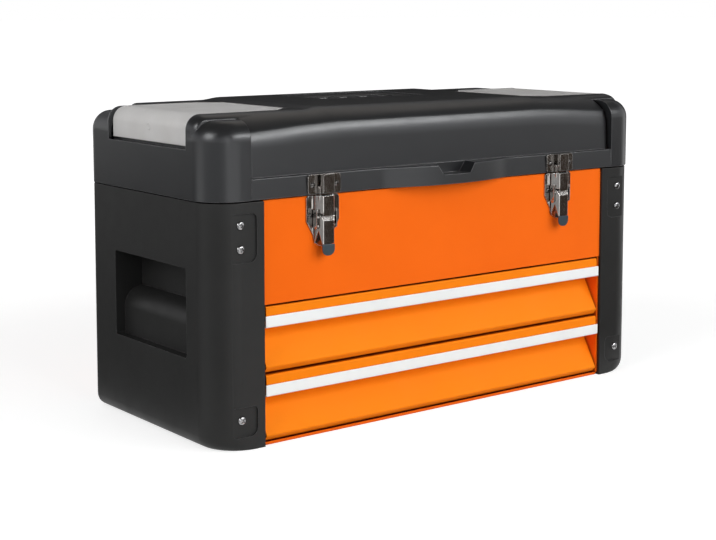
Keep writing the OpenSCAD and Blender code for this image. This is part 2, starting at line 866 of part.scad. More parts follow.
module latch_lever(side) {
    face_z = body_h - 20;
    cheek_z = body_h - 41;
    tip_z = body_h - 51;
    cheek_r = 2.8;
    tip_line = [[latch_out, cheek_z + 4], [latch_out, cheek_z], [latch_out + 1, tip_z + 5],
                [latch_out + 2.5, tip_z]];
    color(chrome) at_latch(side) difference() {
        union() {
            difference() {
                translate([0, 0, cheek_z]) linear_extrude(lever_pin[1] + cheek_r - cheek_z) hat_plan();
                // the face stops below the link
                block([-hat_foot, lever_pin[0] + cheek_r, face_z], [hat_foot, latch_out + over, body_h]);
                // round ends about the pin
                along_x(-hat_foot - over, hat_foot + over) difference() {
                    translate([0, lever_pin[1]]) square([latch_out + over, cheek_r + over]);
                    translate(lever_pin) circle(cheek_r);
                }
                // open triangle in each cheek
                along_x(-hat_foot - over, hat_foot + over)
                    polygon([[2.4, cheek_z - over], [8.6, cheek_z - over], [5.4, cheek_z + 12]]);
            }
            intersection() {
                along_x(-hat_half, hat_half) polygon(folded(tip_line, -latch_t * 0.8));
                along_y(0, latch_out + 5) difference() {
                    translate([-hat_half, tip_z]) square([2 * hat_half, cheek_z + 4 - tip_z]);
                    corner_cut(-hat_half, tip_z, 4, -1, -1);
                    corner_cut(hat_half, tip_z, 4, 1, -1);
                }
            }
        }
        for (pin = [lever_pin, link_pin]) translate([0, pin[0], pin[1]]) rotate([0, 90, 0])
            cylinder(r = latch_pin_r + run, h = latch_w, center = true);
    }
}

module latch_link(side) {
    plate_z = body_h - 15;
    arm_x = 9.8;
    arm_r = 2.5;
    hook_z = body_h + 6.5;
    color(chrome) at_latch(side) difference() {
        union() {
            translate([0, 0, plate_z]) linear_extrude(body_h - gap - plate_z) hat_plan();
            for (edge = [left, right]) on_side(edge) {
                block([arm_x, link_pin[0] - arm_r, link_pin[1]], [arm_x + 1, link_pin[0] + arm_r, plate_z + 3]);
                translate([arm_x, link_pin[0], link_pin[1]]) rotate([0, 90, 0])
                    cylinder(r = arm_r, h = 1);
                block([hat_half + 2, link_pin[0] - 1.5, plate_z], [arm_x + 1, link_pin[0] + 0.5, plate_z + 3]);
                block([lip_half + gap, 4.2, body_h - 4], [lip_half + gap + 1, 6.8, hook_z]);
                block([lip_half + gap, 4.2, body_h - 4], [hat_half + 2.5, 6.8, body_h]);
                translate([lip_half + gap, 5.5, hook_z]) rotate([0, 90, 0]) cylinder(r = 1.3, h = 1.8);
            }
        }
        translate([0, link_pin[0], link_pin[1]]) rotate([0, 90, 0])
            cylinder(r = latch_pin_r + run, h = latch_w, center = true);
    }
}

module link_pin_piece(side) {
    color(steel) at_latch(side) translate([0, link_pin[0], link_pin[1]]) rotate([0, 90, 0])
        cylinder(r = latch_pin_r, h = 22.6, center = true);
}

module catch_plate(side) {
    seat = cap_t;                            // the rim stands this far before the panel
    z0 = body_h + 0.8;
    z1 = rim_top - 0.3;
    half = latch_w / 2;
    lip_z = z0 + 1;
    color(chrome) at_latch(side) difference() {
        union() {
            along_y(seat, seat + latch_t) difference() {
                translate([-half, z0]) square([latch_w, z1 - z0]);
                for (edge = [left, right]) {
                    corner_cut(edge * half, z0, 3, edge, -1);
                    corner_cut(edge * half, z1, 3, edge, 1);
                }
            }
            block([-lip_half, seat, lip_z], [lip_half, latch_out, lip_z + 1]);
            block([-lip_half, latch_out - 1, lip_z], [lip_half, latch_out, z1]);
            for (edge = [left, right]) on_side(edge)
                block([lip_half - 1, latch_out - 3.5, lip_z], [lip_half, latch_out, z1]);
        }
        for (edge = [left, right]) translate([edge * 12.3, seat, body_h + 9]) rotate([90, 0, 0])
            cylinder(r = 1.6, h = 4 * latch_t, center = true);
    }
}

module catch_screws() {
    color(steel) for (side = [left, right]) at_latch(side) for (edge = [left, right])
        translate([edge * 12.3, cap_t + latch_t, body_h + 9]) rotate([-90, 0, 0])
            domed_screw(2.6, 1.4, 1.5, latch_t - 0.1);
}

// ---- Rear hinges ----

barrel_part = hinge_w / 3;

module barrel(x0, x1, bore) {
    translate([x0, hinge_y, hinge_z]) rotate([0, 90, 0]) difference() {
        cylinder(r = hinge_r, h = x1 - x0);
        translate([0, 0, -over]) cylinder(r = bore, h = x1 - x0 + 2 * over);
    }
}

module hinge_leaves_body() {
    half = hinge_w / 2;
    flat = hinge_y - hinge_r + 0.1;
    joggle = [
        [panel_y + latch_t, hinge_z - 28], [panel_y + latch_t, hinge_z - 9],
        [flat + latch_t, hinge_z - 6.5], [flat + latch_t, hinge_z - hinge_r - 0.6]
    ];
    color(steel) for (side = [left, right]) translate([side * hinge_x, 0, 0]) {
        difference() {
            union() {
                along_x(-half, half) polygon(folded(joggle, latch_t));
                for (x = [-half, half - barrel_part])
                    block([x, flat, hinge_z - hinge_r - 1], [x + barrel_part - gap, flat + latch_t, hinge_z - 1.9]);
            }
            for (x = [-20, 20]) translate([x, panel_y, hinge_z - 19]) rotate([90, 0, 0])
                cylinder(r = 1.6, h = 6 * latch_t, center = true);
        }
        barrel(-half, -half + barrel_part - gap, hinge_pin_r + run);
        barrel(half - barrel_part, half - gap, hinge_pin_r + run);
    }
}

module hinge_leaves_lid() {
    half = hinge_w / 2;
    color(steel) for (side = [left, right]) translate([side * hinge_x, 0, 0]) {
        difference() {
            union() {
                block([-half, cap_y, hinge_z + hinge_r + 0.5], [half, cap_y + latch_t, hinge_z + 16]);
                block([-barrel_part / 2, cap_y, hinge_z + 1.9],
                      [barrel_part / 2 - gap, cap_y + latch_t, hinge_z + hinge_r + 1]);
            }
            for (x = [-20, 20]) translate([x, cap_y, hinge_z + 10]) rotate([90, 0, 0])
                cylinder(r = 1.6, h = 4 * latch_t, center = true);
        }
        barrel(-barrel_part / 2, barrel_part / 2 - gap, hinge_pin_r + run);
    }
}

module hinge_pins() {
    color(steel) for (side = [left, right])
        translate([side * hinge_x - hinge_w / 2, hinge_y, hinge_z]) rotate([0, 90, 0])
            cylinder(r = hinge_pin_r, h = hinge_w - gap);
}

module hinge_rivets_body() {
    color(steel) for (side = [left, right], x = [-20, 20])
        translate([side * hinge_x + x, panel_y + latch_t, hinge_z - 19]) rotate([-90, 0, 0])
            domed_screw(2.6, 1.2, 1.5, latch_t - 0.1, false);
}

module hinge_rivets_lid() {
    color(steel) for (side = [left, right], x = [-20, 20])
        translate([side * hinge_x + x, cap_y + latch_t, hinge_z + 10]) rotate([-90, 0, 0])
            domed_screw(2.6, 1.2, 1.5, latch_t - 0.1, false);
}

base_pan();
side_panel(left);  // side_panel_left
side_panel(right);  // side_panel_right
front_panel();
back_panel();
compartment_floor();
end_cap(left);  // end_cap_left
end_cap(right);  // end_cap_right
end_cap_screws();
runners(1);  // upper_runners
runners(0);  // lower_runners
latch_base(left);  // latch_base_left
latch_base(right);  // latch_base_right
latch_rivets();
lever_pins();
hinge_leaves_body();
hinge_leaves_lid();
hinge_pins();
hinge_rivets_body();
hinge_rivets_lid();
lid_shell();
thumb_rest();
bin(left);  // bin_left
bin(right);  // bin_right
catch_plate(left);  // catch_left
catch_plate(right);  // catch_right
catch_screws();
cover(left);  // cover_left
cover(right);  // cover_right
cover_pins();
carry_handle();
handle_pins();
latch_lever(left);  // latch_lever_left
latch_lever(right);  // latch_lever_right
latch_link(left);  // latch_link_left
latch_link(right);  // latch_link_right
link_pin_piece(left);  // link_pin_left
link_pin_piece(right);  // link_pin_right
drawer_front(1);  // drawer_upper_front
drawer_tray(1);  // drawer_upper_tray
drawer_strip(1);  // drawer_upper_strip
drawer_rails(1);  // drawer_upper_rails
drawer_rivets(1);  // drawer_upper_rivets
drawer_front(0);  // drawer_lower_front
drawer_tray(0);  // drawer_lower_tray
drawer_strip(0);  // drawer_lower_strip
drawer_rails(0);  // drawer_lower_rails
drawer_rivets(0);  // drawer_lower_rivets
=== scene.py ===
"""Looks of a portable tool box with drawers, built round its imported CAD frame."""

import itertools
import logging
import math
from collections.abc import Sequence
from dataclasses import dataclass, replace
from enum import Enum
from functools import lru_cache

import bmesh
import bpy
import numpy as np
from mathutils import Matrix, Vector

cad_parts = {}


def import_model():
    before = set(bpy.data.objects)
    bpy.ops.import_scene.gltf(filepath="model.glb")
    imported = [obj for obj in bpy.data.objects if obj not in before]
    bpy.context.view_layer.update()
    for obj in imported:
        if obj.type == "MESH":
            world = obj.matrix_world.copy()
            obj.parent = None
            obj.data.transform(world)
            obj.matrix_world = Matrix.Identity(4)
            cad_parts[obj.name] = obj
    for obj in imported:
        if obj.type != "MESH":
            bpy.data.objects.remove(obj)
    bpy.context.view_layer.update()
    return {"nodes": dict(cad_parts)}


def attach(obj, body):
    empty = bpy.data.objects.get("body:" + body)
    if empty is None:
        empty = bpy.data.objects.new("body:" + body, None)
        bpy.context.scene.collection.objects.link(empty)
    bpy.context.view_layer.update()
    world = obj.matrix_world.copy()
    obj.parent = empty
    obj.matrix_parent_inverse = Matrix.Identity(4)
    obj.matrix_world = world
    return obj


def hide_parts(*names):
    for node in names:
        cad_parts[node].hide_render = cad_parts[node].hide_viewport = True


LOG = logging.getLogger("tool_box")
MM = 0.001  # a millimetre in metres
QUARTER = math.pi / 2.0  # a quarter turn
STRAIGHT = 1e-9  # sine of the turn below which a corner is straight
SIDES = ((1, "right"), (-1, "left"))
ACROSS = (-1.0, 1.0, 1.0)  # mirrors right to left
ALONG = (1.0, -1.0, 1.0)  # mirrors front to back
WHITE = (1.0, 1.0, 1.0, 1.0)
Array = np.ndarray
Point = tuple[float, float, float]
Colour = tuple[float, float, float]
Span = Sequence[float]
Line = Sequence[tuple[float, float]]
Socket = bpy.types.NodeSocket


# ---- Shapes in millimetres ----

class Axis(Enum):
    """Direction in which an outline is carried."""

    X = (2, 0, 1)
    Y = (0, 2, 1)
    Z = (0, 1, 2)

    def place(self, outline: Array, along: float | Array) -> Array:
        """Puts outline points (a, b) at a distance along this axis, as space points."""
        far = np.broadcast_to(np.asarray(along, float), outline.shape[:-1])
        return np.concatenate([outline, far[..., None]], axis=-1)[..., list(self.value)]


@dataclass
class Shape:
    """A closed mesh: corner points in millimetres and faces that point outwards."""

    points: Array
    faces: list[list[int]]

    def mirrored(self, way: Point = ACROSS) -> "Shape":
        """Its mirror image, by default across the x = 0 plane."""
        return Shape(self.points * way, [face[::-1] for face in self.faces])

    def moved(self, x: float = 0.0, y: float = 0.0, z: float = 0.0) -> "Shape":
        """The same shape shifted by (x, y, z)."""
        return Shape(self.points + (x, y, z), self.faces)

    def outward(self) -> "Shape":
        """The same shape with its faces turned round if they point inwards.

        They do where the signed volume is negative. It is a sixth of the sum of p0 . (p1 x p2) over the
        fan of every face, so the sum's sign is enough.

        Returns:
            The shape, with its faces outwards.
        """
        total = 0.0
        for face in self.faces:
            p = self.points[face]
            total += float(np.sum(np.cross(p[1:-1], p[2:]) @ p[0]))
        if total >= 0.0:
            return self
        return Shape(self.points, [face[::-1] for face in self.faces])


def rounded(corners: Array, radii: float | Array, offsets: float | Array = 0.0, steps: int = 7) -> Array:
    """Closed outline with rounded corners, shrunk edge by edge.

    Each edge line moves inwards by its offset and meets its neighbours in new corners. A corner that
    turns by the angle f gives way to an arc of radius r that starts r tan(f / 2) before the corner.

    Args:
        corners: corner points (a, b), anticlockwise.
        radii: radius of every corner.
        offsets: distance by which the edge after each corner moves inwards.
        steps: pieces in every arc.

    Returns:
        The outline, with steps + 1 points for every corner.
    """
    p = np.asarray(corners, float)
    count = len(p)
    move = np.broadcast_to(np.asarray(offsets, float), count)
    size = np.broadcast_to(np.asarray(radii, float), count)
    after = np.roll(p, -1, axis=0) - p
    after = after / np.linalg.norm(after, axis=1, keepdims=True)
    before = np.roll(after, 1, axis=0)
    left_after = np.stack([-after[:, 1], after[:, 0]], axis=1)
    left_before = np.roll(left_after, 1, axis=0)
    move_before = np.roll(move, 1)
    cross = before[:, 0] * after[:, 1] - before[:, 1] * after[:, 0]
    dot = np.sum(before * after, axis=1)
    bend = np.abs(cross) >= STRAIGHT
    slide = (move - move_before * dot) / np.where(bend, cross, 1.0)
    corner = p + left_before * move_before[:, None] - before * np.where(bend, slide, 0.0)[:, None]
    turn = np.arctan2(cross, dot)
    sign = np.where(turn >= 0.0, 1.0, -1.0)
    least = np.minimum(move, move_before)
    r = np.where(size > 0.0, np.maximum(size - sign * least, 0.0), 0.0)
    start = corner - before * (r * np.tan(np.abs(turn) / 2.0))[:, None]
    centre = start + left_before * (r * sign)[:, None]
    first = np.arctan2(-left_before[:, 1] * sign, -left_before[:, 0] * sign)
    angle = first[:, None] + turn[:, None] * np.linspace(0.0, 1.0, steps + 1)[None, :]
    arc = np.stack([np.cos(angle), np.sin(angle)], axis=-1) * r[:, None, None]
    return (centre[:, None, :] + arc).reshape(-1, 2)


def rectangle(a0: float, b0: float, a1: float, b1: float) -> Array:
    """Corners of a rectangle between (a0, b0) and (a1, b1), anticlockwise."""
    return np.array([(a0, b0), (a1, b0), (a1, b1), (a0, b1)], float)


def loft(rings: Array) -> Shape:
    """Skin over a stack of rings that have the same number of points.

    Face (i, j) joins points j and j + 1 of ring i to the same points of ring i + 1, and the first and
    the last ring are closed by one face each.

    Args:
        rings: array of rings, points and coordinates.

    Returns:
        The closed shape.
    """
    count, size = rings.shape[:2]
    index = np.arange(count * size).reshape(count, size)
    beside = np.roll(index, -1, axis=1)
    quads = np.stack([index[:-1], beside[:-1], beside[1:], index[1:]], axis=-1).reshape(-1, 4)
    faces = quads.tolist() + [index[0, ::-1].tolist(), index[-1].tolist()]
    return Shape(rings.reshape(-1, 3), faces).outward()


def prism(outline: Array, low: float, high: float, axis: Axis = Axis.Z) -> Shape:
    """Outline carried straight from low to high along an axis."""
    return loft(np.stack([axis.place(outline, low), axis.place(outline, high)]))


def box(low: Point, high: Point) -> Shape:
    """Block between two opposite corners."""
    return prism(rectangle(low[0], low[1], high[0], high[1]), low[2], high[2])


def pillow(corners: Array, radii: float | Array, low: float, high: float, axis: Axis = Axis.Z,
           lower: float = 0.0, upper: float = 0.0, sides: float | Array = 1.0,
           arcs: int = 5, steps: int = 7) -> Shape:
    """Plate with rounded corners and rounded rims.

    At the angle t, from 0 to a quarter turn, a rim of radius e runs e (1 - cos t) inside the outline and
    e (1 - sin t) before the face.

    Args:
        corners: corner points of the outline, anticlockwise.
        radii: radius of every corner.
        low: height of the first face.
        high: height of the last face.
        axis: direction of the height.
        lower: radius of the rim at the first face.
        upper: radius of the rim at the last face.
        sides: share of the rim that each edge takes part in.
        arcs: pieces in a rim.
        steps: pieces in a corner.

    Returns:
        The closed shape.
    """
    t = np.linspace(0.0, QUARTER, arcs + 1)
    inset: list[float] = [0.0]
    height: list[float] = [low]
    if lower > 0.0:
        inset = list(lower * (1.0 - np.cos(t[::-1])))
        height = list(low + lower * (1.0 - np.sin(t[::-1])))
    if upper > 0.0:
        inset += list(upper * (1.0 - np.cos(t)))
        height += list(high - upper * (1.0 - np.sin(t)))
    else:
        inset.append(0.0)
        height.append(high)
    share = np.broadcast_to(np.asarray(sides, float), len(corners))
    rings = [axis.place(rounded(corners, radii, e * share, steps), h) for e, h in zip(inset, height)]
    return loft(np.stack(rings))


def turned(profile: Line, axis: Axis = Axis.Z, steps: int = 32) -> Shape:
    """Profile turned round an axis through the origin.

    A point of radius r and height h runs round (r cos a, r sin a, h).

    Args:
        profile: pairs of radius and height.
        axis: the axis.
        steps: pieces in a turn.

    Returns:
        The closed shape.
    """
    angle = np.linspace(0.0, 2.0 * math.pi, steps, endpoint=False)
    circle = np.stack([np.cos(angle), np.sin(angle)], axis=-1)
    return loft(np.stack([axis.place(radius * circle, height) for radius, height in profile]))


def bent_sheet(line: Line, thickness: float, bend: float) -> tuple[Array, Array]:
    """Corners and corner radii of a sheet that follows an open line.

    The second face is the line moved to its left by the thickness, with mitred bends. At a bend the
    inner corner has the given radius and the outer one that radius plus the thickness.

    Args:
        line: points of the sheet's first face.
        thickness: distance to the second face, negative for the right side.
        bend: inner radius of every bend.

    Returns:
        The corners, anticlockwise, and the radius of each.
    """
    p = np.asarray(line, float)
    step = np.diff(p, axis=0)
    step = step / np.linalg.norm(step, axis=1, keepdims=True)
    left = np.stack([-step[:, 1], step[:, 0]], axis=1)
    before = np.vstack([left[:1], left])
    after = np.vstack([left, left[-1:]])
    mitre = (before + after) / (1.0 + np.sum(before * after, axis=1))[:, None]
    corners = np.vstack([p, (p + thickness * mitre)[::-1]])
    x, y = corners.T
    if np.sum(x * np.roll(y, -1) - y * np.roll(x, -1)) < 0.0:
        corners = corners[::-1]
    after = np.roll(corners, -1, axis=0) - corners
    before = np.roll(after, 1, axis=0)
    convex = before[:, 0] * after[:, 1] - before[:, 1] * after[:, 0] > 0.0
    radii = np.where(convex, bend + abs(thickness), bend)
    count = len(p)
    radii[[0, count - 1, count, 2 * count - 1]] = 0.25 * abs(thickness)
    return corners, radii


class Join(Enum):
    """How one solid is worked into another."""

    ADD = "UNION"
    CUT = "DIFFERENCE"
    KEEP = "INTERSECT"


def shown(name: str, data: bpy.types.ID) -> bpy.types.Object:
    """Adds an object to the scene.

    Args:
        name: its name.
        data: its mesh, lamp or camera.

    Returns:
        The object.
    """
    made = bpy.data.objects.new(name, data)
    bpy.context.scene.collection.objects.link(made)
    return made


def baked(made: bpy.types.Object) -> bpy.types.Mesh:
    """An object's mesh with its modifiers worked in."""
    bpy.context.view_layer.update()
    return bpy.data.meshes.new_from_object(made.evaluated_get(bpy.context.evaluated_depsgraph_get()))


class Workpiece:
    """A solid that other solids are added to, cut from or kept within.

    Attributes:
        doubled: distance in metres below which two points are one.
        sliver: length in metres below which an edge is dropped.
        mesh: the solid's mesh in metres.
    """

    doubled = 2e-6
    sliver = 1e-6

    def __init__(self, shape: Shape) -> None:
        """Starts from one closed shape."""
        self.mesh = self._mesh(shape)

    def _mesh(self, shape: Shape) -> bpy.types.Mesh:
        """Puts a shape into a mesh in metres, with its doubled points merged.

        Args:
            shape: the closed shape.

        Returns:
            The mesh.
        """
        mesh = bpy.data.meshes.new("work")
        mesh.from_pydata((shape.points * MM).tolist(), [], shape.faces)
        work = bmesh.new()
        work.from_mesh(mesh)
        bmesh.ops.remove_doubles(work, verts=work.verts, dist=self.doubled)
        bmesh.ops.dissolve_degenerate(work, edges=work.edges, dist=self.sliver)
        work.to_mesh(mesh)
        work.free()
        return mesh

    def _work(self, how: Join, others: tuple["Shape | Workpiece", ...]) -> "Workpiece":
        """Applies one boolean step for every other solid, in order.

        Args:
            how: what every step does.
            others: the other solids.

        Returns:
            This workpiece.
        """
        holder = shown("work", self.mesh)
        tools = []
        for other in others:
            tool = shown("tool", other.mesh if isinstance(other, Workpiece) else self._mesh(other))
            step = holder.modifiers.new("step", "BOOLEAN")
            step.operation = how.value
            step.solver = "MANIFOLD"
            step.object = tool
            tools.append(tool)
        made = baked(holder)
        if len(made.vertices) == len(self.mesh.vertices):
            LOG.warning("a step changed nothing: %s", how.name)
        for used in [holder, *tools]:
            bpy.data.objects.remove(used)
        self.mesh = made
        return self

    def add(self, *others: "Shape | Workpiece") -> "Workpiece":
        """Joins other solids to this one."""
        return self._work(Join.ADD, others)

    def cut(self, *others: "Shape | Workpiece") -> "Workpiece":
        """Takes other solids away from this one."""
        return self._work(Join.CUT, others)

    def keep(self, *others: "Shape | Workpiece") -> "Workpiece":
        """Keeps only what lies in the other solids too."""
        return self._work(Join.KEEP, others)

    def points(self) -> Array:
        """Reads its corner points.

        Returns:
            The points in metres, one row each.
        """
        flat = np.empty(len(self.mesh.vertices) * 3, np.float32)
        self.mesh.vertices.foreach_get("co", flat)
        return flat.reshape(-1, 3)

    def mirrored(self, way: Point, shift: Point = (0.0, 0.0, 0.0)) -> "Workpiece":
        """Becomes its mirror image and moves.

        Args:
            way: factor of every axis, with one of them -1.
            shift: how far it moves after that, in millimetres.

        Returns:
            This workpiece.
        """
        points = self.points() * way + np.array(shift) * MM
        self.mesh.vertices.foreach_set("co", points.astype(np.float32).ravel())
        self.mesh.flip_normals()
        self.mesh.update()
        return self

    def on_side(self, side: int) -> "Workpiece":
        """Stays as it is on the right side, and becomes its mirror image on the left."""
        return self if side > 0 else self.mirrored(ACROSS)


def piece(name: str, work: Workpiece | list[Shape], body: str, finish: "Finish", stands_for: list[str],
          smooth: float = 32.0) -> None:
    """Makes the finished object of a piece and puts it on its body.

    Args:
        name: name of the piece.
        work: its solid, or closed shapes that lie side by side.
        body: CAD body that it moves with.
        finish: what its surface is made of.
        stands_for: CAD nodes that it is shown in place of.
        smooth: angle in degrees below which an edge is shaded smooth.
    """
    if isinstance(work, list):
        starts = np.cumsum([0] + [len(shape.points) for shape in work])
        faces = [[i + int(first) for i in f] for first, shape in zip(starts, work) for f in shape.faces]
        work = Workpiece(Shape(np.vstack([shape.points for shape in work]), faces))
    made = shown(name, work.mesh)
    made.data.materials.clear()
    made.data.polygons.foreach_set("use_smooth", np.ones(len(made.data.polygons), bool))
    made.data.set_sharp_from_angle(angle=math.radians(smooth))
    even = made.modifiers.new("even", "WEIGHTED_NORMAL")
    even.keep_sharp = True
    even.weight = 100
    mesh = baked(made)
    made.modifiers.clear()
    made.data = mesh
    mesh.name = name
    mesh.materials.append(finish.material())
    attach(made, body)
    if stands_for:
        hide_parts(*stands_for)
    LOG.info("%s: %d faces", name, len(mesh.polygons))


# ---- Finishes ----

class Recipe:
    """Adds and joins the nodes of one material or world."""

    def __init__(self, owner: bpy.types.Material | bpy.types.World, output: str = "OutputMaterial") -> None:
        """Empties a node tree and gives it an output and the object's own coordinates.

        Args:
            owner: the material or world that the tree belongs to.
            output: type of its output node.
        """
        owner.use_nodes = True
        self.tree = owner.node_tree
        self.tree.nodes.clear()
        self.output = self.add(output)
        self.place = self.add("TexCoord").outputs["Object"]

    def add(self, kind: str, *first: object, **named: object) -> bpy.types.Node:
        """Adds a shader node.

        Args:
            kind: type of the node, without ShaderNode.
            first: its first inputs, each a value, an output or node to join to, or None to pass over.
            named: inputs by name, with _ for a space, and in small letters its settings.

        Returns:
            The node.
        """
        node = self.tree.nodes.new("ShaderNode" + kind)
        inputs = dict(enumerate(first))
        for name, value in named.items():
            if name[0].isupper():
                inputs[name.replace("_", " ")] = value
            else:
                setattr(node, name, value)
        for key, value in inputs.items():
            if isinstance(value, bpy.types.Node):
                value = value.outputs[0]
            if isinstance(value, Socket):
                self.tree.links.new(value, node.inputs[key])
            elif value is not None:
                node.inputs[key].default_value = value
        return node

    def surface(self, shader: bpy.types.Node) -> None:
        """Ends the recipe with its shader."""
        self.tree.links.new(shader.outputs[0], self.output.inputs["Surface"])

    def noise(self, size: float, detail: float = 2.0, stretch: Point = (1.0, 1.0, 1.0)) -> Socket:
        """Cloudy pattern, even or drawn out to lines.

        Args:
            size: size in millimetres of its features.
            detail: how many finer patterns it has.
            stretch: factor of every axis, small where the features are long.

        Returns:
            Its value.
        """
        at = self.place
        if stretch != (1.0, 1.0, 1.0):
            at = self.add("Mapping", Vector=at, Scale=stretch)
        node = self.add("TexNoise", Vector=at, Scale=1.0 / MM / size, Detail=detail, Roughness=0.5)
        return node.outputs["Fac"]

    def span(self, value: Socket, low: float, high: float, start: float = 0.3, end: float = 0.7) -> Socket:
        """Stretches a value between start and end to the range from low to high."""
        return self.add("MapRange", value, start, end, low, high).outputs["Result"]

    def ramp(self, value: Socket, *stops: tuple[float, Colour]) -> Socket:
        """Colour that changes through stops as a value rises.

        Args:
            value: the value.
            stops: places from 0 to 1, each with its colour.

        Returns:
            The colour.
        """
        node = self.add("ValToRGB", value)
        bands = node.color_ramp.elements
        while len(bands) < len(stops):
            bands.new(0.5)
        for band, (place, colour) in zip(bands, stops):
            band.position = place
            band.color = (*colour, 1.0)
        return node.outputs["Color"]

    def mix(self, how: str, share: Socket | float, under: Socket, over: Socket | Colour) -> Socket:
        """Lays one colour over another.

        Args:
            how: name of the way.
            share: how much the upper one shows.
            under: the lower colour.
            over: the upper colour.

        Returns:
            The colour.
        """
        if isinstance(over, tuple):
            over = (*over, 1.0)
        between = [None] * 5
        return self.add("Mix", share, *between, under, over, data_type="RGBA", blend_type=how).outputs[2]

    def bump(self, height: Socket, depth: float, under: Socket) -> Socket:
        """Relief of the given depth in millimetres, over the relief beneath it."""
        node = self.add("Bump", Height=height, Strength=1.0, Distance=depth * MM, Normal=under)
        return node.outputs["Normal"]

    def edges(self, eased: Socket) -> Socket:
        """Finds the edges, where a rounded normal leaves the plain one.

        Args:
            eased: the rounded normal.

        Returns:
            One along edges and zero elsewhere.
        """
        plain = self.add("NewGeometry").outputs["Normal"]
        alike = self.add("VectorMath", eased, plain, operation="DOT_PRODUCT").outputs["Value"]
        return self.span(alike, 0.0, 1.0, 0.975, 0.82)

    def rays(self, *kinds: str) -> Socket:
        """Tells some kinds of rays from all others.

        Args:
            kinds: names of the kinds.

        Returns:
            One for rays of these kinds and zero for others.
        """
        path = self.add("LightPath").outputs
        found = path[f"Is {kinds[0]} Ray"]
        for kind in kinds[1:]:
            found = self.add("Math", found, path[f"Is {kind} Ray"], operation="MAXIMUM").outputs[0]
        return found


@dataclass(frozen=True)
class Finish:
    """A painted, moulded or metal surface.

    Attributes:
        slot: material slot of the record that it belongs to.
        tones: its darker and its lighter colour.
        rough: roughness where it is smoothest and where it is dullest.
        patch: size in millimetres of the soft patches of tone.
        grain: size in millimetres of the surface grain.
        depth: height in millimetres of that grain.
        lines: stretch of that grain by axis, which draws it out to brushed lines.
        edge: rounding in millimetres that sharp edges show.
        metal: how metallic it is.
        specular: strength of its mirror gloss.
        tint: colour of that gloss.
        painted_shade_reach: reach in millimetres of the painted shade that darkens the colour in narrow gaps
            and hollows.
        painted_edge_highlight: pale colour painted on sharp edges as a painted highlight.
        clear: share of the light that passes through it.
        ior: its index of refraction.
    """

    slot: str
    tones: tuple[Colour, Colour]
    rough: tuple[float, float]
    patch: float = 45.0
    grain: float = 1.1
    depth: float = 0.02
    lines: Point = (1.0, 1.0, 1.0)
    edge: float = 0.5
    metal: float = 0.0
    specular: float = 0.5
    tint: Colour = (1.0, 1.0, 1.0)
    painted_shade_reach: float = 0.0
    painted_edge_highlight: Colour | None = None
    clear: float = 0.0
    ior: float = 1.5

    @lru_cache(maxsize=None)
    def material(self) -> bpy.types.Material:
        """Joins tone, painted edge highlights, painted shade in gaps, roughness and relief in one node
        material, made once.

        Returns:
            The material.
        """
        made = bpy.data.materials.new(self.slot)
        recipe = Recipe(made)
        colour = recipe.ramp(recipe.noise(self.patch, 3.0), (0.3, self.tones[0]), (0.7, self.tones[1]))
        eased = recipe.add("Bevel", samples=4, Radius=self.edge * MM).outputs["Normal"]
        # Painted highlight: sharp edges are lightened towards a pale colour, standing in for the light that
        # their rounding would catch.
        if self.painted_edge_highlight is not None:
            colour = recipe.mix("MIX", recipe.edges(eased), colour, self.painted_edge_highlight)
        # Painted shade: ambient occlusion darkens the colour to a dark red-brown in narrow gaps and hollows,
        # within the given reach.
        if self.painted_shade_reach > 0.0:
            air = recipe.add("AmbientOcclusion", samples=8, Distance=self.painted_shade_reach * MM).outputs["AO"]
            shade = recipe.ramp(air, (0.22, (0.16, 0.035, 0.03)), (0.68, (1.0, 1.0, 1.0)))
            colour = recipe.mix("MULTIPLY", 1.0, colour, shade)
        relief = recipe.bump(recipe.noise(self.grain, 2.0, self.lines), self.depth, eased)
        recipe.surface(recipe.add(
            "BsdfPrincipled", Base_Color=colour, Normal=relief, Metallic=self.metal, IOR=self.ior,
            Roughness=recipe.span(recipe.noise(self.patch * 0.4, 3.0), *self.rough),
            Specular_IOR_Level=self.specular, Specular_Tint=(*self.tint, 1.0),
            Transmission_Weight=self.clear))
        return made


# In these finishes the gap reach sets painted shade in narrow gaps, and the edge colour sets painted
# highlights on sharp edges.
ORANGE = Finish("orange_paint", ((0.95, 0.148, 0.008), (0.98, 0.158, 0.009)), (0.46, 0.54), patch=70.0,
                grain=1.6, depth=0.008, specular=0.25, tint=(1.0, 0.22, 0.02), painted_shade_reach=5.5)
# The drawer fronts get a lighter, yellower copy of the orange paint: painted light that stands in for the
# extra light their upward slopes catch.
DRAWER_LIT_ORANGE = replace(ORANGE, tones=((0.97, 0.238, 0.007), (0.99, 0.252, 0.008)), edge=0.4,
                 tint=(1.0, 0.28, 0.03))
CAP = Finish("cap_black", ((0.0140, 0.0140, 0.0137), (0.0172, 0.0172, 0.0169)), (0.44, 0.52),
             grain=0.9, depth=0.008, edge=0.35, specular=0.25, painted_shade_reach=2.1, painted_edge_highlight=(0.15, 0.15, 0.153))
LID = Finish("lid_black", ((0.0090, 0.0094, 0.0106), (0.0110, 0.0114, 0.0126)), (0.30, 0.34),
             grain=1.0, depth=0.003, edge=0.6, specular=0.60, tint=(0.97, 0.985, 1.0), painted_shade_reach=5.0,
             painted_edge_highlight=(0.24, 0.24, 0.25))
HANDLE = Finish("handle_black", ((0.018, 0.018, 0.019), (0.024, 0.024, 0.025)), (0.30, 0.40),
                patch=20.0, depth=0.015, edge=0.9, painted_edge_highlight=(0.10, 0.10, 0.10))
BIN = Finish("bin_black", ((0.030, 0.030, 0.031), (0.038, 0.038, 0.040)), (0.40, 0.52), patch=25.0)
STRIP = Finish("strip_bright", ((0.90, 0.93, 0.93), (0.94, 0.97, 0.97)), (0.30, 0.38),
               grain=0.5, depth=0.003, lines=(0.04, 1.0, 1.0), edge=0.3)
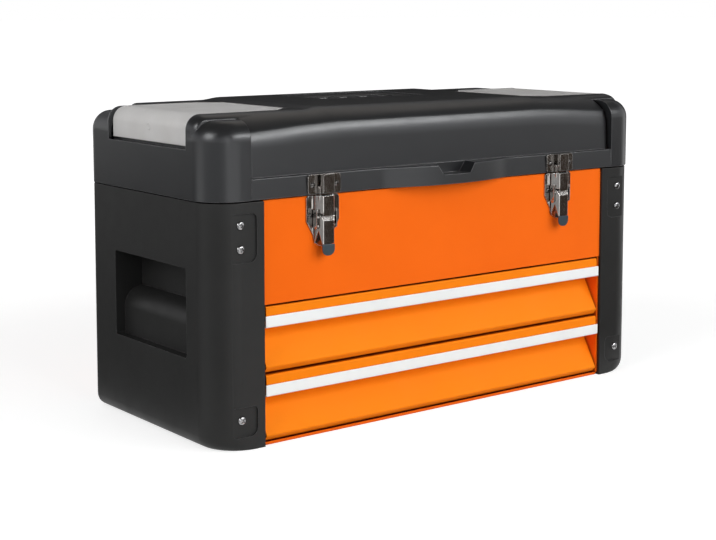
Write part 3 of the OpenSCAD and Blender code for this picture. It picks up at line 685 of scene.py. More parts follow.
TRAY = Finish("tray_paint", ((0.030, 0.031, 0.033), (0.042, 0.043, 0.045)), (0.42, 0.55))
RUNNER = Finish("runner_steel", ((0.52, 0.53, 0.55), (0.66, 0.67, 0.69)), (0.26, 0.42), patch=14.0,
                grain=0.8, depth=0.006, lines=(1.0, 0.05, 1.0), edge=0.3, metal=1.0)
HINGE = replace(RUNNER, slot="hinge_steel", tones=((0.50, 0.51, 0.52), (0.63, 0.64, 0.66)),
                rough=(0.26, 0.40), patch=10.0, grain=0.7, lines=(0.04, 1.0, 1.0))
CHROME = Finish("latch_chrome", ((0.45, 0.43, 0.41), (0.53, 0.51, 0.49)), (0.08, 0.15), patch=12.0,
                grain=2.5, depth=0.0008, edge=0.6, metal=1.0, painted_shade_reach=2.2)
SCREW = Finish("screw_steel", ((0.30, 0.30, 0.305), (0.38, 0.38, 0.385)), (0.12, 0.20), patch=4.0,
               grain=0.8, depth=0.002, edge=0.25, metal=1.0, painted_shade_reach=0.8)
RIVET = replace(SCREW, slot="latch_chrome", tones=((0.10, 0.095, 0.09), (0.15, 0.145, 0.14)),
                rough=(0.16, 0.26))
# The thumb tab is plated like the latch, but coloured a non-metallic dark blue-grey: a painted reflection of
# the tint its plated tip shows.
TAB_REFLECTION_TONE = Finish("latch_chrome", ((0.030, 0.048, 0.062), (0.042, 0.062, 0.078)), (0.28, 0.36), patch=8.0,
             grain=0.9, depth=0.004, specular=0.4, painted_edge_highlight=(0.10, 0.14, 0.16))
COVER = Finish("cover_clear", ((0.80, 0.785, 0.77), (0.87, 0.86, 0.85)), (0.30, 0.40), patch=30.0,
               grain=1.4, depth=0.006, edge=0.6, clear=0.24, ior=1.35)


# ---- Sub-assemblies ----

def both(shape: Shape) -> list[Shape]:
    """A right-hand shape and its mirror image."""
    return [shape, shape.mirrored()]


@dataclass
class Lid:
    """Moulded lid: raised middle, lower end blocks, rim with a thumb bulge, wells and seats.

    The crease's and the knee's lean are in degrees from upright, and the rim's is a slope.
    """

    base: float = 206.3
    wall: float = 2.6
    end: float = 250.0
    front: float = -103.5
    back: float = 103.5
    middle_half: float = 212.0
    middle_front: float = -98.0
    middle_end_round: float = 5.0
    stations: tuple[float, ...] = (0, 60, 100, 118, 121.5, 125, 128.5, 132, 135.5, 139, 150, 158, 169, 180,
                                   192)
    draft: float = 1.6
    crease_line: Line = ((0, 265.4), (118, 265.4), (158, 263.7), (180, 262.0), (212, 259.9))
    crease_round: float = 36.0
    crease_lean: float = 25.0
    knee_round: float = 8.0
    knee_lean: float = 48.0
    back_round: float = 14.0
    block_inner: float = 211.3
    block_top: float = 271.0
    block_round: float = 17.0
    block_front_round: float = 29.0
    block_back_round: float = 12.0
    deck: float = 275.8
    deck_round: float = 13.0
    top: float = 278.0
    fall: float = 2.1
    fall_start: float = 118.0
    fall_width: float = 21.0
    rim_half: float = 211.6
    rim_top: float = 224.2
    rim_back: float = -88.0
    rim_lean: float = 0.055
    rim_round: float = 1.4
    bulge_out: float = 13.0
    bulge_reach: float = 71.0
    bulge_join: float = 60.0
    bulge_fade: float = 18.0
    notch_floor: float = 215.0
    notch_top: float = 228.0
    notch_foot: float = 15.5
    notch_head: float = 25.0
    notch_round: float = 2.2
    well_half: float = 60.4
    well_front: float = 3.5
    well_back: float = 78.0
    well_floor: float = 265.4
    well_rounds: tuple[float, float, float] = (3.0, 11.0, 2.0)
    cover_x: float = 139.0
    cover_half: float = 64.8
    cover_cut: float = 15.0
    cover_bend: float = 6.1
    shoulder: float = 13.0
    shoulder_round: float = 14.0
    shoulder_share: float = 0.36
    recess: float = 4.4
    pin: tuple[float, float] = (141.9, 273.2)
    barrel: Line = ((3.25, -50.1), (3.25, 50.1))
    cutter_top: float = 290.0

    def middle(self, inset: float, base: float) -> Shape:
        """Raised middle of the lid.

        A ring is the front-to-back section at one x: a front with a slight draft, an arc that leans back
        to the crease, a small arc over the knee, a wide arc up to the level top, the top, an arc at the
        back and the upright back. The wide arc's radius is the height left to the top over 1 minus the
        sine of the knee's lean, which joins it to both. Towards each end the section shrinks by
        e (1 - cos t) while x runs e sin t, which rounds the end by e. The crease sinks towards the ends,
        and along its fall the top sinks by the share s s (3 - 2 s) of it.

        Args:
            inset: distance by which the surface moves inwards.
            base: height of the underside.

        Returns:
            The closed shape.
        """
        ease = self.middle_end_round
        t = np.linspace(0.0, QUARTER, 6)
        side = np.concatenate([self.stations, self.middle_half - inset - ease + ease * np.sin(t)])
        lost = np.concatenate([np.zeros(len(self.stations)), ease * (1.0 - np.cos(t))])
        x = np.concatenate([-side[:0:-1], side])
        shrink = (np.concatenate([lost[:0:-1], lost]) + inset)[:, None]
        away = np.abs(x)
        crease = np.interp(away, *np.transpose(self.crease_line))[:, None]
        s = np.clip((away - self.fall_start) / self.fall_width, 0.0, 1.0)
        top = (self.top - self.fall * s * s * (3.0 - 2.0 * s))[:, None]

        def arc(y: float | Array, z: Array, radius: float | Array, angles: Array) -> tuple[Array, Array]:
            """Arc about (y, z), with angles counted from the front."""
            return y - (radius - shrink) * np.cos(angles), z + (radius - shrink) * np.sin(angles)

        front, one, two, three = self.middle_front, self.crease_round, self.knee_round, self.back_round
        lean, rise = math.radians(self.crease_lean), math.radians(self.knee_lean)
        edge = front + one * (1.0 - math.cos(lean))
        knee_y = edge + two * (math.cos(lean) - math.cos(rise))
        knee_z = crease + two * (math.sin(rise) - math.sin(lean))
        wide = (top - knee_z) / (1.0 - math.sin(rise))
        arcs = [
            arc(front + one, crease - one * math.sin(lean), one, np.linspace(0.0, lean, 8)),
            arc(edge + two * math.cos(lean), crease - two * math.sin(lean), two,
                np.linspace(lean, rise, 5)[1:]),
            arc(knee_y + wide * math.cos(rise), knee_z - wide * math.sin(rise), wide,
                np.linspace(rise, QUARTER, 15)[1:]),
            arc(self.back - three, top - three, three, np.linspace(QUARTER, math.pi, 10))]
        foot = np.full_like(shrink, base)
        y = np.hstack([front - self.draft + shrink, *(a[0] for a in arcs), self.back - shrink])
        z = np.hstack([foot, *(a[1] for a in arcs), foot])
        return loft(np.stack([np.broadcast_to(x[:, None], y.shape), y, z], axis=-1))

    def block(self, inset: float, base: float) -> Shape:
        """Lower block at the right end: its plan, with a rim rounded on three sides.

        Args:
            inset: distance by which the surface moves inwards.
            base: height of the underside.

        Returns:
            The closed shape.
        """
        corners = rectangle(self.block_inner + inset, self.front + inset,
                            self.end - inset, self.back - inset)
        radii = (0.6, self.block_front_round - inset, self.block_back_round - inset, 0.6)
        return pillow(corners, radii, base, self.block_top - inset, upper=self.block_round - inset,
                      sides=(1, 1, 1, 0), arcs=9, steps=12)

    def deck_line(self, inset: float, foot: float = 238.0, recess: float = 0.0) -> tuple[Array, Array]:
        """Corners and radii, as (x, z), of the deck under a cover, shrunk by inset and sunk at its end."""
        corners = rectangle(self.cover_x + 6.0, foot, self.end - recess - inset, self.deck - inset)
        return corners, np.array([0.0, 0.0, self.deck_round - inset, 0.0])

    def platform(self, inset: float) -> Shape:
        """Raised deck under the right cover, carried along y with a wide front shoulder.

        Args:
            inset: distance by which the surface moves inwards.

        Returns:
            The closed shape.
        """
        corners, radii = self.deck_line(inset)
        near, far = self.cover_half + self.shoulder - inset, self.cover_half + 2.4 - inset
        return pillow(corners, radii, -near, far, Axis.Y, self.shoulder_round, 2.0,
                      (0, self.shoulder_share, self.shoulder_share, 0), arcs=9, steps=10)

    def rim(self, inset: float, base: float) -> Shape:
        """Band round the foot of the middle, with the thumb bulge.

        The front line is y = front - bulge(x), where the bulge is a parabola out to its join and from
        there a cubic that runs out level. The band leans back slightly and its top edge is rounded.

        Args:
            inset: distance by which the surface moves inwards.
            base: height of the underside.

        Returns:
            The closed shape.
        """
        out, reach, join, fade = self.bulge_out, self.bulge_reach, self.bulge_join, self.bulge_fade
        x = np.concatenate([[-self.rim_half], np.linspace(-84.0, 84.0, 113), [self.rim_half]])
        away = np.abs(x)
        s = np.clip((away - join) / fade, 0.0, 1.0)
        height, slope = out * (1.0 - (join / reach) ** 2), -2.0 * out * join / reach ** 2
        cubic = (2 * s ** 3 - 3 * s ** 2 + 1) * height + (s ** 3 - 2 * s ** 2 + s) * fade * slope
        line = self.front + inset - np.where(away < join, out * (1.0 - (away / reach) ** 2), cubic)
        t = np.linspace(0.0, QUARTER, 5)
        radius = self.rim_round if inset == 0.0 else 0.4
        top = self.rim_top - inset
        shrink = np.concatenate([[0.5, 0.0], radius * (1.0 - np.cos(t))])
        level = np.concatenate([[base, base + 0.5], top - radius * (1.0 - np.sin(t))])
        y = line + shrink[:, None] + (self.rim_lean * np.maximum(level - base - 1.0, 0.0))[:, None]
        y = np.hstack([y, np.full((len(level), 2), self.rim_back)])
        x = np.broadcast_to(np.concatenate([x, [self.rim_half, -self.rim_half]]), y.shape)
        return loft(np.stack([x, y, np.broadcast_to(level[:, None], y.shape)], axis=-1))

    def notch(self, grow: float) -> Shape:
        """Thumb notch with slanting sides, open to the front.

        Args:
            grow: distance by which it is grown on all sides.

        Returns:
            The closed shape.
        """
        low, high = self.notch_floor - grow, self.notch_top
        foot, head = self.notch_foot + grow, self.notch_head + grow
        corners = np.array([(-foot, low), (foot, low), (head, high), (-head, high)])
        outline = rounded(corners, (self.notch_round, self.notch_round, 0.0, 0.0))
        return prism(outline, -121.0, self.middle_front - self.draft - 0.4 + grow, Axis.Y)

    def well(self, grow: float, top: float) -> Shape:
        """Well of the carry handle with rounded corners and a rounded floor.

        Args:
            grow: distance by which it is grown on all sides.
            top: height of its open end.

        Returns:
            The closed shape.
        """
        half = self.well_half + grow
        corners = rectangle(-half, self.well_front - grow, half, self.well_back + grow)
        front, back, foot = self.well_rounds
        radii = (front + grow, front + grow, back + grow, back + grow)
        return pillow(corners, radii, self.well_floor - grow, top, lower=foot)

    def cover_plan(self, grow: float, slack: float) -> Array:
        """Plan of the right cover with its two cut corners by the hinge.

        Args:
            grow: distance by which it is grown on all sides.
            slack: distance by which the cut corners move towards the hinge.

        Returns:
            Its corners, anticlockwise.
        """
        near, far = self.cover_half - self.cover_cut + grow, self.cover_half + grow
        inner, outer = self.cover_x - grow, self.end + 2.0
        turn = self.cover_x + self.cover_bend - slack
        cut = turn + self.cover_cut
        return np.array([(inner, -near), (turn, -near), (cut, -far), (outer, -far),
                         (outer, far), (cut, far), (turn, near), (inner, near)])

    def deck_prism(self, inset: float) -> Shape:
        """The sunk deck's outline carried right across the lid.

        Args:
            inset: distance by which the outline is shrunk.

        Returns:
            The closed shape.
        """
        corners, radii = self.deck_line(inset, 200.0, self.recess)
        corners[[0, 3], 0] = 100.0
        return prism(rounded(corners, radii, steps=10), -120.0, 120.0, Axis.Y)

    def seat(self) -> Workpiece:
        """What is cut away for the right cover and its barrel."""
        room = Workpiece(prism(self.cover_plan(0.3, 1.4), 247.0, self.cutter_top)).cut(self.deck_prism(2.3))
        return room.add(turned(self.barrel, Axis.Y).moved(x=self.pin[0], z=self.pin[1]))

    def frame(self) -> Workpiece:
        """Plate that stiffens the lid under the right cover."""
        plate = Workpiece(prism(self.cover_plan(2.9, 0.0), 244.4, self.cutter_top))
        return plate.keep(self.deck_prism(2.2)).cut(self.deck_prism(6.3))

    def opening(self) -> Workpiece:
        """Hole for the right bin, with a step for its flange."""
        hole = Workpiece(prism(rounded(rectangle(153.0, -56.8, 234.0, 56.8), 2.0), 266.0, 276.0))
        return hole.add(prism(rounded(rectangle(150.0, -59.8, 237.0, 59.8), 3.0), 272.0, 280.0))

    def build(self) -> None:
        """Joins the outer solids, hollows them, then cuts wells, notch, seats and openings.

        The hollows start at different depths below the underside, so that no two of their faces meet.
        """
        base, wall = self.base, self.wall
        outer = Workpiece(self.middle(0.0, base))
        outer.add(*both(self.block(0.0, base)), *both(self.platform(0.0)), self.rim(0.0, base))
        hollow = Workpiece(self.middle(wall, base - 2.0))
        passage = box((200.0, -92.0, base - 1.5), (220.0, 98.0, 262.0))
        hollow.add(*both(self.block(wall, base - 3.0)), *both(passage), *both(self.platform(wall)))
        hollow.add(self.rim(wall, base - 3.5)).cut(self.notch(wall))
        outer.cut(hollow).add(self.well(wall, 276.0))
        for side, _ in SIDES:
            outer.add(self.frame().on_side(side))
        outer.cut(self.well(0.0, self.cutter_top), self.notch(0.0))
        for side, _ in SIDES:
            outer.cut(self.seat().on_side(side), self.opening().on_side(side))
        piece("lid_moulding", outer, "lid", LID, ["lid_shell", "thumb_rest"])


@dataclass
class EndCap:
    """Moulded end cap with a hand-grip recess and sunk screw pads."""

    free_edge: float = 199.0
    middle: float = 220.0
    end: float = 248.0
    half: float = 103.5
    high: float = 206.0
    front_round: float = 28.0
    back_round: float = 8.0
    foot_round: float = 12.0
    rim_round: float = 0.9
    seam_round: float = 0.8
    lid_gap: float = 0.7
    wall: float = 2.5
    grip_half: float = 60.0
    grip_low: float = 73.3
    grip_high: float = 148.7
    grip_corner: float = 2.2
    grip_step: float = 97.0
    grip_round: float = 18.0
    shelf_depth: float = 9.0
    grip_depth: float = 27.0
    pad_in: float = 206.6
    pad_floor: float = 102.3
    pad_spans: Line = ((11.4, 36.4), (156.0, 196.2))

    def shell(self, inset: float) -> Shape:
        """Outer or inner surface: the plan carried up, with its outer bottom edge rounded.

        The top edge is rounded by e: it runs e (1 - cos t) inwards and e (1 - sin t) below the top.

        Args:
            inset: distance by which the surface moves inwards.

        Returns:
            The closed shape.
        """
        inner = self.free_edge - (1.0 if inset else 0.0)
        corners = rectangle(inner, -self.half + inset, self.end - inset, self.half - inset)
        radii = (self.seam_round, self.front_round - inset, self.back_round - inset, self.seam_round)
        top, steps, e = self.high - self.lid_gap - inset, 12, self.rim_round
        plain = pillow(corners, radii, inset, top, lower=self.foot_round - inset, sides=(0, 1, 0, 0),
                       arcs=8, steps=steps)
        rings = plain.points.reshape(-1, len(corners) * (steps + 1), 3)
        ring = rings[-1] * (1.0, 1.0, 0.0)
        t = np.linspace(0.0, QUARTER, 5)[:, None, None]
        outwards = np.sign(ring - (self.middle, 0.0, 0.0)) * (1.0, 1.0, 0.0)
        edge = ring - e * (1.0 - np.cos(t)) * outwards
        height = (top - e * (1.0 - np.sin(t))) * np.array((0.0, 0.0, 1.0))
        return loft(np.concatenate([rings[:-1], edge + height]))

    def grip(self, grow: float) -> Workpiece:
        """Hand-grip recess, shallow below and deep above a rounded step.

        Side on, the recess has a shallow shelf up to the step, then follows a quarter circle inwards and
        has its full depth above it. Seen from the end it has rounded corners.

        Args:
            grow: distance by which it is grown.

        Returns:
            The solid to cut or to add.
        """
        t = np.linspace(0.0, QUARTER, 12)
        step, radius = self.grip_step, self.grip_round - grow
        arc = np.stack([self.end - self.grip_depth + radius * np.cos(t), step + radius * np.sin(t)], axis=-1)
        low, high, reach = self.grip_low - grow, self.grip_high + grow, self.grip_half + grow
        shelf, deep = self.end - self.shelf_depth - grow, self.end - self.grip_depth - grow
        out = self.end + (1.0 if grow == 0.0 else -1.0)
        above = [(deep, step + radius), (deep, high), (out, high)]
        line = np.vstack([[(out, low), (shelf, low)], arc, above])
        front = rounded(rectangle(-reach, low, reach, high), self.grip_corner + grow, steps=8)
        return Workpiece(prism(line, -reach, reach, Axis.Y)).keep(prism(front, 200.0, 260.0, Axis.X))

    def pad(self, low: float, high: float) -> Shape:
        """Sunk pad for screws at the front, open towards the rounded corner."""
        corners = rectangle(self.pad_in, low, 262.0, high)
        return pillow(corners, (7.5, 0.0, 0.0, 4.5), -self.half - 6.0, 0.5 - self.pad_floor, Axis.Y,
                      upper=0.4)

    def build(self) -> None:
        """Makes both end caps."""
        for side, name in SIDES:
            cap = Workpiece(self.shell(0.0)).cut(self.shell(self.wall)).add(self.grip(self.wall))
            pads = [self.pad(low, high) for low, high in self.pad_spans]
            cap.cut(self.grip(0.0), *pads, *(pad.mirrored(ALONG) for pad in pads))
            piece(f"{name}_cap_moulding", cap.on_side(side), "box", CAP, [f"end_cap_{name}"])


@dataclass
class CapScrews:
    """Domed cross-recess screws that hold the end caps."""

    x: float = 221.6
    seat: float = 101.9
    heights: tuple[float, ...] = (25.4, 167.0, 186.8)
    radius: float = 3.6
    collar: float = 0.35
    dome: float = 2.0
    slot_floor: float = 0.7
    slot_length: float = 0.58
    slot_width: float = 0.15

    def head(self) -> Workpiece:
        """One head on the z axis: a turned dome with a cross cut into it.

        The dome's points are at r cos a, c + (d - c) sin a, over a collar of height c. The cross is sized
        by its shares of the radius.

        Returns:
            The head.
        """
        line = [(self.radius - 0.3, -0.4), (self.radius, 0.1)]
        line += [(self.radius * math.cos(a), self.collar + (self.dome - self.collar) * math.sin(a))
                 for a in np.linspace(0.0, 1.0, 8) * QUARTER]
        arm, half = self.radius * self.slot_length, self.radius * self.slot_width
        slots = [box((-x, -y, self.slot_floor), (x, y, 5.0)) for x, y in ((arm, half), (half, arm))]
        return Workpiece(turned(line, steps=28)).cut(*slots)

    def build(self) -> None:
        """Copies the head to every screw place, front and back, each turned a little further."""
        head = self.head()
        points = head.points().astype(float) / MM
        faces = [list(p.vertices) for p in head.mesh.polygons]
        shapes = []
        for x, z in itertools.product((-self.x, self.x), self.heights):
            turn = 0.3 + 0.013 * (z + x)
            spin = np.array([[math.cos(turn), -math.sin(turn)], [math.sin(turn), math.cos(turn)]])
            flat = points[:, :2] @ spin.T
            for way in (-1.0, 1.0):
                depth = way * (self.seat + points[:, 2])
                place = np.stack([x + flat[:, 0], depth, z - way * flat[:, 1]], axis=-1)
                shapes.append(Shape(place, faces).outward())
        piece("cap_screw_heads", shapes, "box", SCREW, ["end_cap_screws"])


@dataclass
class Drawer:
    """Folded drawer front with its bright pull strip.

    A sheet has a line of (y behind the face, z above the drawer's bottom), a thickness, which is
    negative towards the right of the line, and the inner radius of its bends.
    """

    level: str
    bottom: float
    half: float = 197.3
    face: float = -101.0
    side_gap: float = 1.1
    front: tuple[Line, float, float] = (((10.0, 56.3), (0.6, 56.3), (0.0, 39.5), (16.0, 39.5), (16.0, 33.3),
                                         (0.0, 5.0), (4.0, 0.0), (28.0, 0.0)), 1.0, 0.8)
    strip: tuple[Line, float, float] = (((0.0, 48.2), (0.0, 39.5), (9.6, 39.5)), -1.2, 0.3)

    def bent(self, sheet: tuple[Line, float, float], half: float, edge: float, arcs: int) -> Shape:
        """Bends a sheet and carries it across the drawer.

        Args:
            sheet: its line, thickness and bends.
            half: half its length.
            edge: rounding of its two ends.
            arcs: pieces in that rounding.

        Returns:
            The closed shape.
        """
        line, thickness, bend = sheet
        corners, radii = bent_sheet([(self.face + y, z) for y, z in line], thickness, bend)
        level = pillow(corners, radii, -half, half, Axis.X, edge, edge, arcs=arcs, steps=5)
        return level.moved(z=self.bottom)

    def build(self) -> None:
        """Makes the front and the strip."""
        front = self.bent(self.front, self.half - self.side_gap, 0.2, 2)
        strip = self.bent(self.strip, self.half, 0.3, 3)
        body, node = f"{self.level}_drawer", f"drawer_{self.level}"
        piece(f"{node}_face", [front], body, DRAWER_LIT_ORANGE, [f"{node}_front"])
        piece(f"{node}_pull", [strip], body, STRIP, [f"{node}_strip"])


@dataclass
class BinCover:
    """Translucent cover over a bin, with a flap that wraps over the end of the lid."""

    hinge_edge: float = 140.3
    thick: float = 2.0
    flap_foot: float = 249.3
    edge: float = 0.6
    corner: float = 1.0
    barrel: Line = ((2.1, -49.6), (2.4, -49.3), (2.4, 49.3), (2.1, 49.6))
    button: Line = ((3.4, -1.0), (3.4, 0.1), (3.0, 0.5), (2.1, 0.5), (1.8, 0.2), (0.4, 0.1))
    button_at: tuple[float, float] = (2.0, 262.0)

    def build(self, lid: Lid) -> None:
        """Bends each cover over the deck, cuts its corners and adds its barrel and its button.

        Args:
            lid: the lid whose seats the covers lie in.
        """
        end, half, edge = lid.end - lid.recess, lid.cover_half, self.edge
        line = [(self.hinge_edge, lid.deck), (end, lid.deck), (end, self.flap_foot)]
        corners, radii = bent_sheet(line, -self.thick, lid.deck_round - self.thick)
        plan = prism(rounded(lid.cover_plan(0.0, 0.0), self.corner, steps=4), 200.0, 300.0)
        for side, name in SIDES:
            cover = Workpiece(pillow(corners, radii, -half, half, Axis.Y, edge, edge, arcs=3, steps=14))
            cover.keep(plan).add(turned(self.barrel, Axis.Y).moved(x=lid.pin[0], z=lid.pin[1]))
            cover.add(turned(self.button, Axis.X, 28).moved(end, *self.button_at)).on_side(side)
            piece(f"{name}_cover_moulding", cover, f"{name}_cover", COVER, [f"cover_{name}"])


@dataclass
class CarryHandle:
    """Fold-down carry handle with four finger scallops in its grip."""

    half: float = 60.0
    arm: float = 12.0
    pivot_y: float = 10.5
    far_y: float = 76.5
    grip_width: float = 24.0
    low: float = 265.7
    high: float = 276.7
    edge: float = 2.5
    scallop: float = 14.0
    scallop_back: float = 11.5
    eye: Line = ((4.5, 0.0), (5.5, 1.0), (5.5, 11.0), (4.5, 12.0))
    ridge: Line = ((69.4, 275.0), (74.6, 275.0), (73.6, 277.1), (73.0, 277.25), (69.4, 276.68))
    ridge_span: Span = (-50.0, 47.0)

    def build(self) -> None:
        """Rounds a U-shaped bar, turns its pivot eyes, adds its ridge and cuts the scallops."""
        half, inner, pivot, far = self.half, self.half - self.arm, self.pivot_y, self.far_y
        grip = far - self.grip_width
        corners = np.array([(-half, pivot), (-inner, pivot), (-inner, grip), (inner, grip),
                            (inner, pivot), (half, pivot), (half, far), (-half, far)])
        radii = (0.5, 0.5, 5.0, 5.0, 0.5, 0.5, 10.0, 10.0)
        bar = Workpiece(pillow(corners, radii, self.low, self.high, lower=self.edge, upper=self.edge))
        eye = turned(self.eye, Axis.X, 40).moved(inner, pivot, (self.low + self.high) / 2.0)
        bar.add(*both(eye)).add(prism(np.array(self.ridge), *self.ridge_span, Axis.X))
        cutter = turned([(self.scallop, 260.0), (self.scallop, 282.0)], steps=48)
        depth = grip - self.scallop_back
        bar.cut(*(cutter.moved(i * inner / 2.0, depth) for i in (-1.5, -0.5, 0.5, 1.5)))
        piece("handle_moulding", bar, "handle", HANDLE, ["carry_handle"])


@dataclass
class Latch:
    """Lever and link of one toggle latch, pressed from plated sheet.

    Sizes are from the middle of the latch: x across, y out from the panel, and how far down from the
    seam below the lid. A span is a pair of them.
    """

    name: str
    side: int
    x: float = 139.0
    panel: float = -101.0
    face: float = 9.5
    half: float = 5.8
    foot: float = 9.6
    sheet: float = 1.0
    seam: float = 206.0

    def hat(self, down: Span) -> Shape:
        """Bent section with a flat face and two slanting sides.

        Args:
            down: span of its height.

        Returns:
            The closed shape.
        """
        line = [(-self.foot, 2.0), (-self.half, self.face), (self.half, self.face), (self.foot, 2.0)]
        corners, radii = bent_sheet(line, -self.sheet, 0.2)
        low, high = (self.seam - d for d in down)
        return pillow(corners, radii, low, high, lower=0.25, upper=0.25, arcs=2, steps=4)

    def bar(self, x: Span, y: Span, down: Span) -> Shape:
        """Block over three spans."""
        return box((x[0], y[0], self.seam - down[0]), (x[1], y[1], self.seam - down[1]))

    def disc(self, y: float, down: float, radius: float, x: Span) -> Shape:
        """Short cylinder across the latch."""
        return turned([(radius, end) for end in x], Axis.X, 28).moved(y=y, z=self.seam - down)

    def side_view(self, *points: Span) -> Array:
        """Outline of (y, down) points as (y, z)."""
        return np.array([(y, self.seam - down) for y, down in points])

    def lever(self) -> Workpiece:
        """Hat section with a leaning brow, round ears, side windows and a tongue for its tab.

        Returns:
            The lever.
        """
        face, half, wide = self.face, self.half - 0.4, (-13.0, 13.0)
        body = Workpiece(self.hat((41.0, 15.7)))
        lean = self.side_view((face + 0.5, 22.4), (face + 3.0, 22.4), (face + 3.0, 8.0), (face - 2.7, 8.0),
                              (face - 2.7, 16.0))
        ears = Workpiece(self.bar((-12.0, 12.0), (-2.0, 14.0), (18.5, 0.0)))
        ears.cut(self.disc(5.0, 18.5, 2.8, wide))
        window = rounded(self.side_view((1.4, 42.0), (8.7, 42.0), (5.3, 29.0)), 0.4, steps=3)
        body.add(self.bar((-half, half), (face - 2.3, face - 0.1), (23.0, 17.0)))
        body.cut(prism(lean, *wide, Axis.X), ears).cut(prism(window, *wide, Axis.X))
        return body.add(self.bar((-4.0, 4.0), (face - 1.7, face - 0.8), (48.0, 37.0)))

    def tab(self) -> Workpiece:
        """Rounded thumb tab over the lever's lower end.

        Returns:
            The tab.
        """
        half, face = self.half + 0.5, self.face
        plan = rectangle(-half, self.seam - 51.0, half, self.seam - 41.3)
        radii = (5.6, 5.6, 0.8, 0.8)
        return Workpiece(pillow(plan, radii, face - 1.0, face + 0.4, Axis.Y, 0.2, 0.6, arcs=4, steps=8))

    def link(self) -> Workpiece:
        """Hat section with an apron, and on each side an arm down to its pin and a hook at the catch.

        A strut joins each arm to the hat, and a web joins each hook to it.

        Returns:
            The link.
        """
        half, face = self.half - 0.2, self.face
        work = Workpiece(self.hat((15.0, 0.3)))
        work.add(self.bar((-half, half), (face - 0.9, face), (17.4, 14.0)))
        spans = ((9.8, 10.8), (self.half + 2.0, 10.8), (5.9, 6.9), (5.9, 7.7), (5.9, 7.8))
        for way, _ in SIDES:
            arm, strut, hook, boss, web = (sorted((way * near, way * far)) for near, far in spans)
            work.add(self.bar(arm, (2.1, 7.1), (26.0, 12.0)), self.disc(4.6, 26.0, 2.5, arm))
            work.add(self.bar(strut, (3.1, 5.1), (15.0, 12.0)))
            work.add(self.bar(hook, (4.2, 6.8), (4.0, -6.5)))
            work.add(self.disc(5.5, -6.5, 1.3, boss))
            work.add(self.bar(web, (4.2, 6.8), (4.0, 0.3)))
        return work

    def build(self) -> None:
        """Makes the lever, the link and the thumb tab, and stands them on the panel, facing forwards."""
        name, place = self.name, (self.side * self.x, self.panel, 0.0)
        for kind, work in (("lever", self.lever()), ("link", self.link())):
            piece(f"{name}_{kind}_pressing", work.mirrored(ALONG, place), f"{name}_{kind}", CHROME,
                  [f"latch_{kind}_{name}"], smooth=20.0)
        piece(f"{name}_thumb_tab", self.tab().mirrored(ALONG, place), f"{name}_lever", TAB_REFLECTION_TONE, [])


class CarriedOver:
    """CAD nodes whose shape is kept and which get their finish here.

    A row is a finish and the starts of the names that get it. A later row goes before an earlier one.
    """

    ROWS = (
        (ORANGE, "base_pan", "side_panel", "front_panel", "back_panel", "compartment_floor"),
        (RUNNER, "upper_runners", "lower_runners", "drawer_upper_r", "drawer_lower_r"),
        (HINGE, "hinge_"),
        (CHROME, "latch_", "lever_pins", "link_pin", "catch_"),
        (RIVET, "latch_rivets", "catch_screws"),
        (SCREW, "cover_pins", "handle_pins"),
        (BIN, "bin_"),
        (TRAY, "drawer_upper_tray", "drawer_lower_tray"),
    )

    def dress(self, nodes: dict[str, bpy.types.Object]) -> None:
        """Gives every kept node its finish.

        Args:
            nodes: the CAD nodes by name.
        """
        for name, node in nodes.items():
            found = [finish for finish, *starts in self.ROWS if name.startswith(tuple(starts))]
            if not found:
                continue
            if not node.material_slots:
                node.data.materials.append(None)
            for slot in node.material_slots:
                slot.material = found[-1].material()


# ---- Studio ----

class Seen(Enum):
    """What a lamp or a card shows in, by the kinds of rays that it is hidden from."""

    ALL = ("camera",)
    SOFT = ("camera", "glossy")
    MIRRORS = ("camera", "diffuse", "transmission")

    def limit(self, made: bpy.types.Object) -> None:
        """Hides an object from these kinds of rays."""
        for kind in self.value:
            setattr(made, f"visible_{kind}", False)


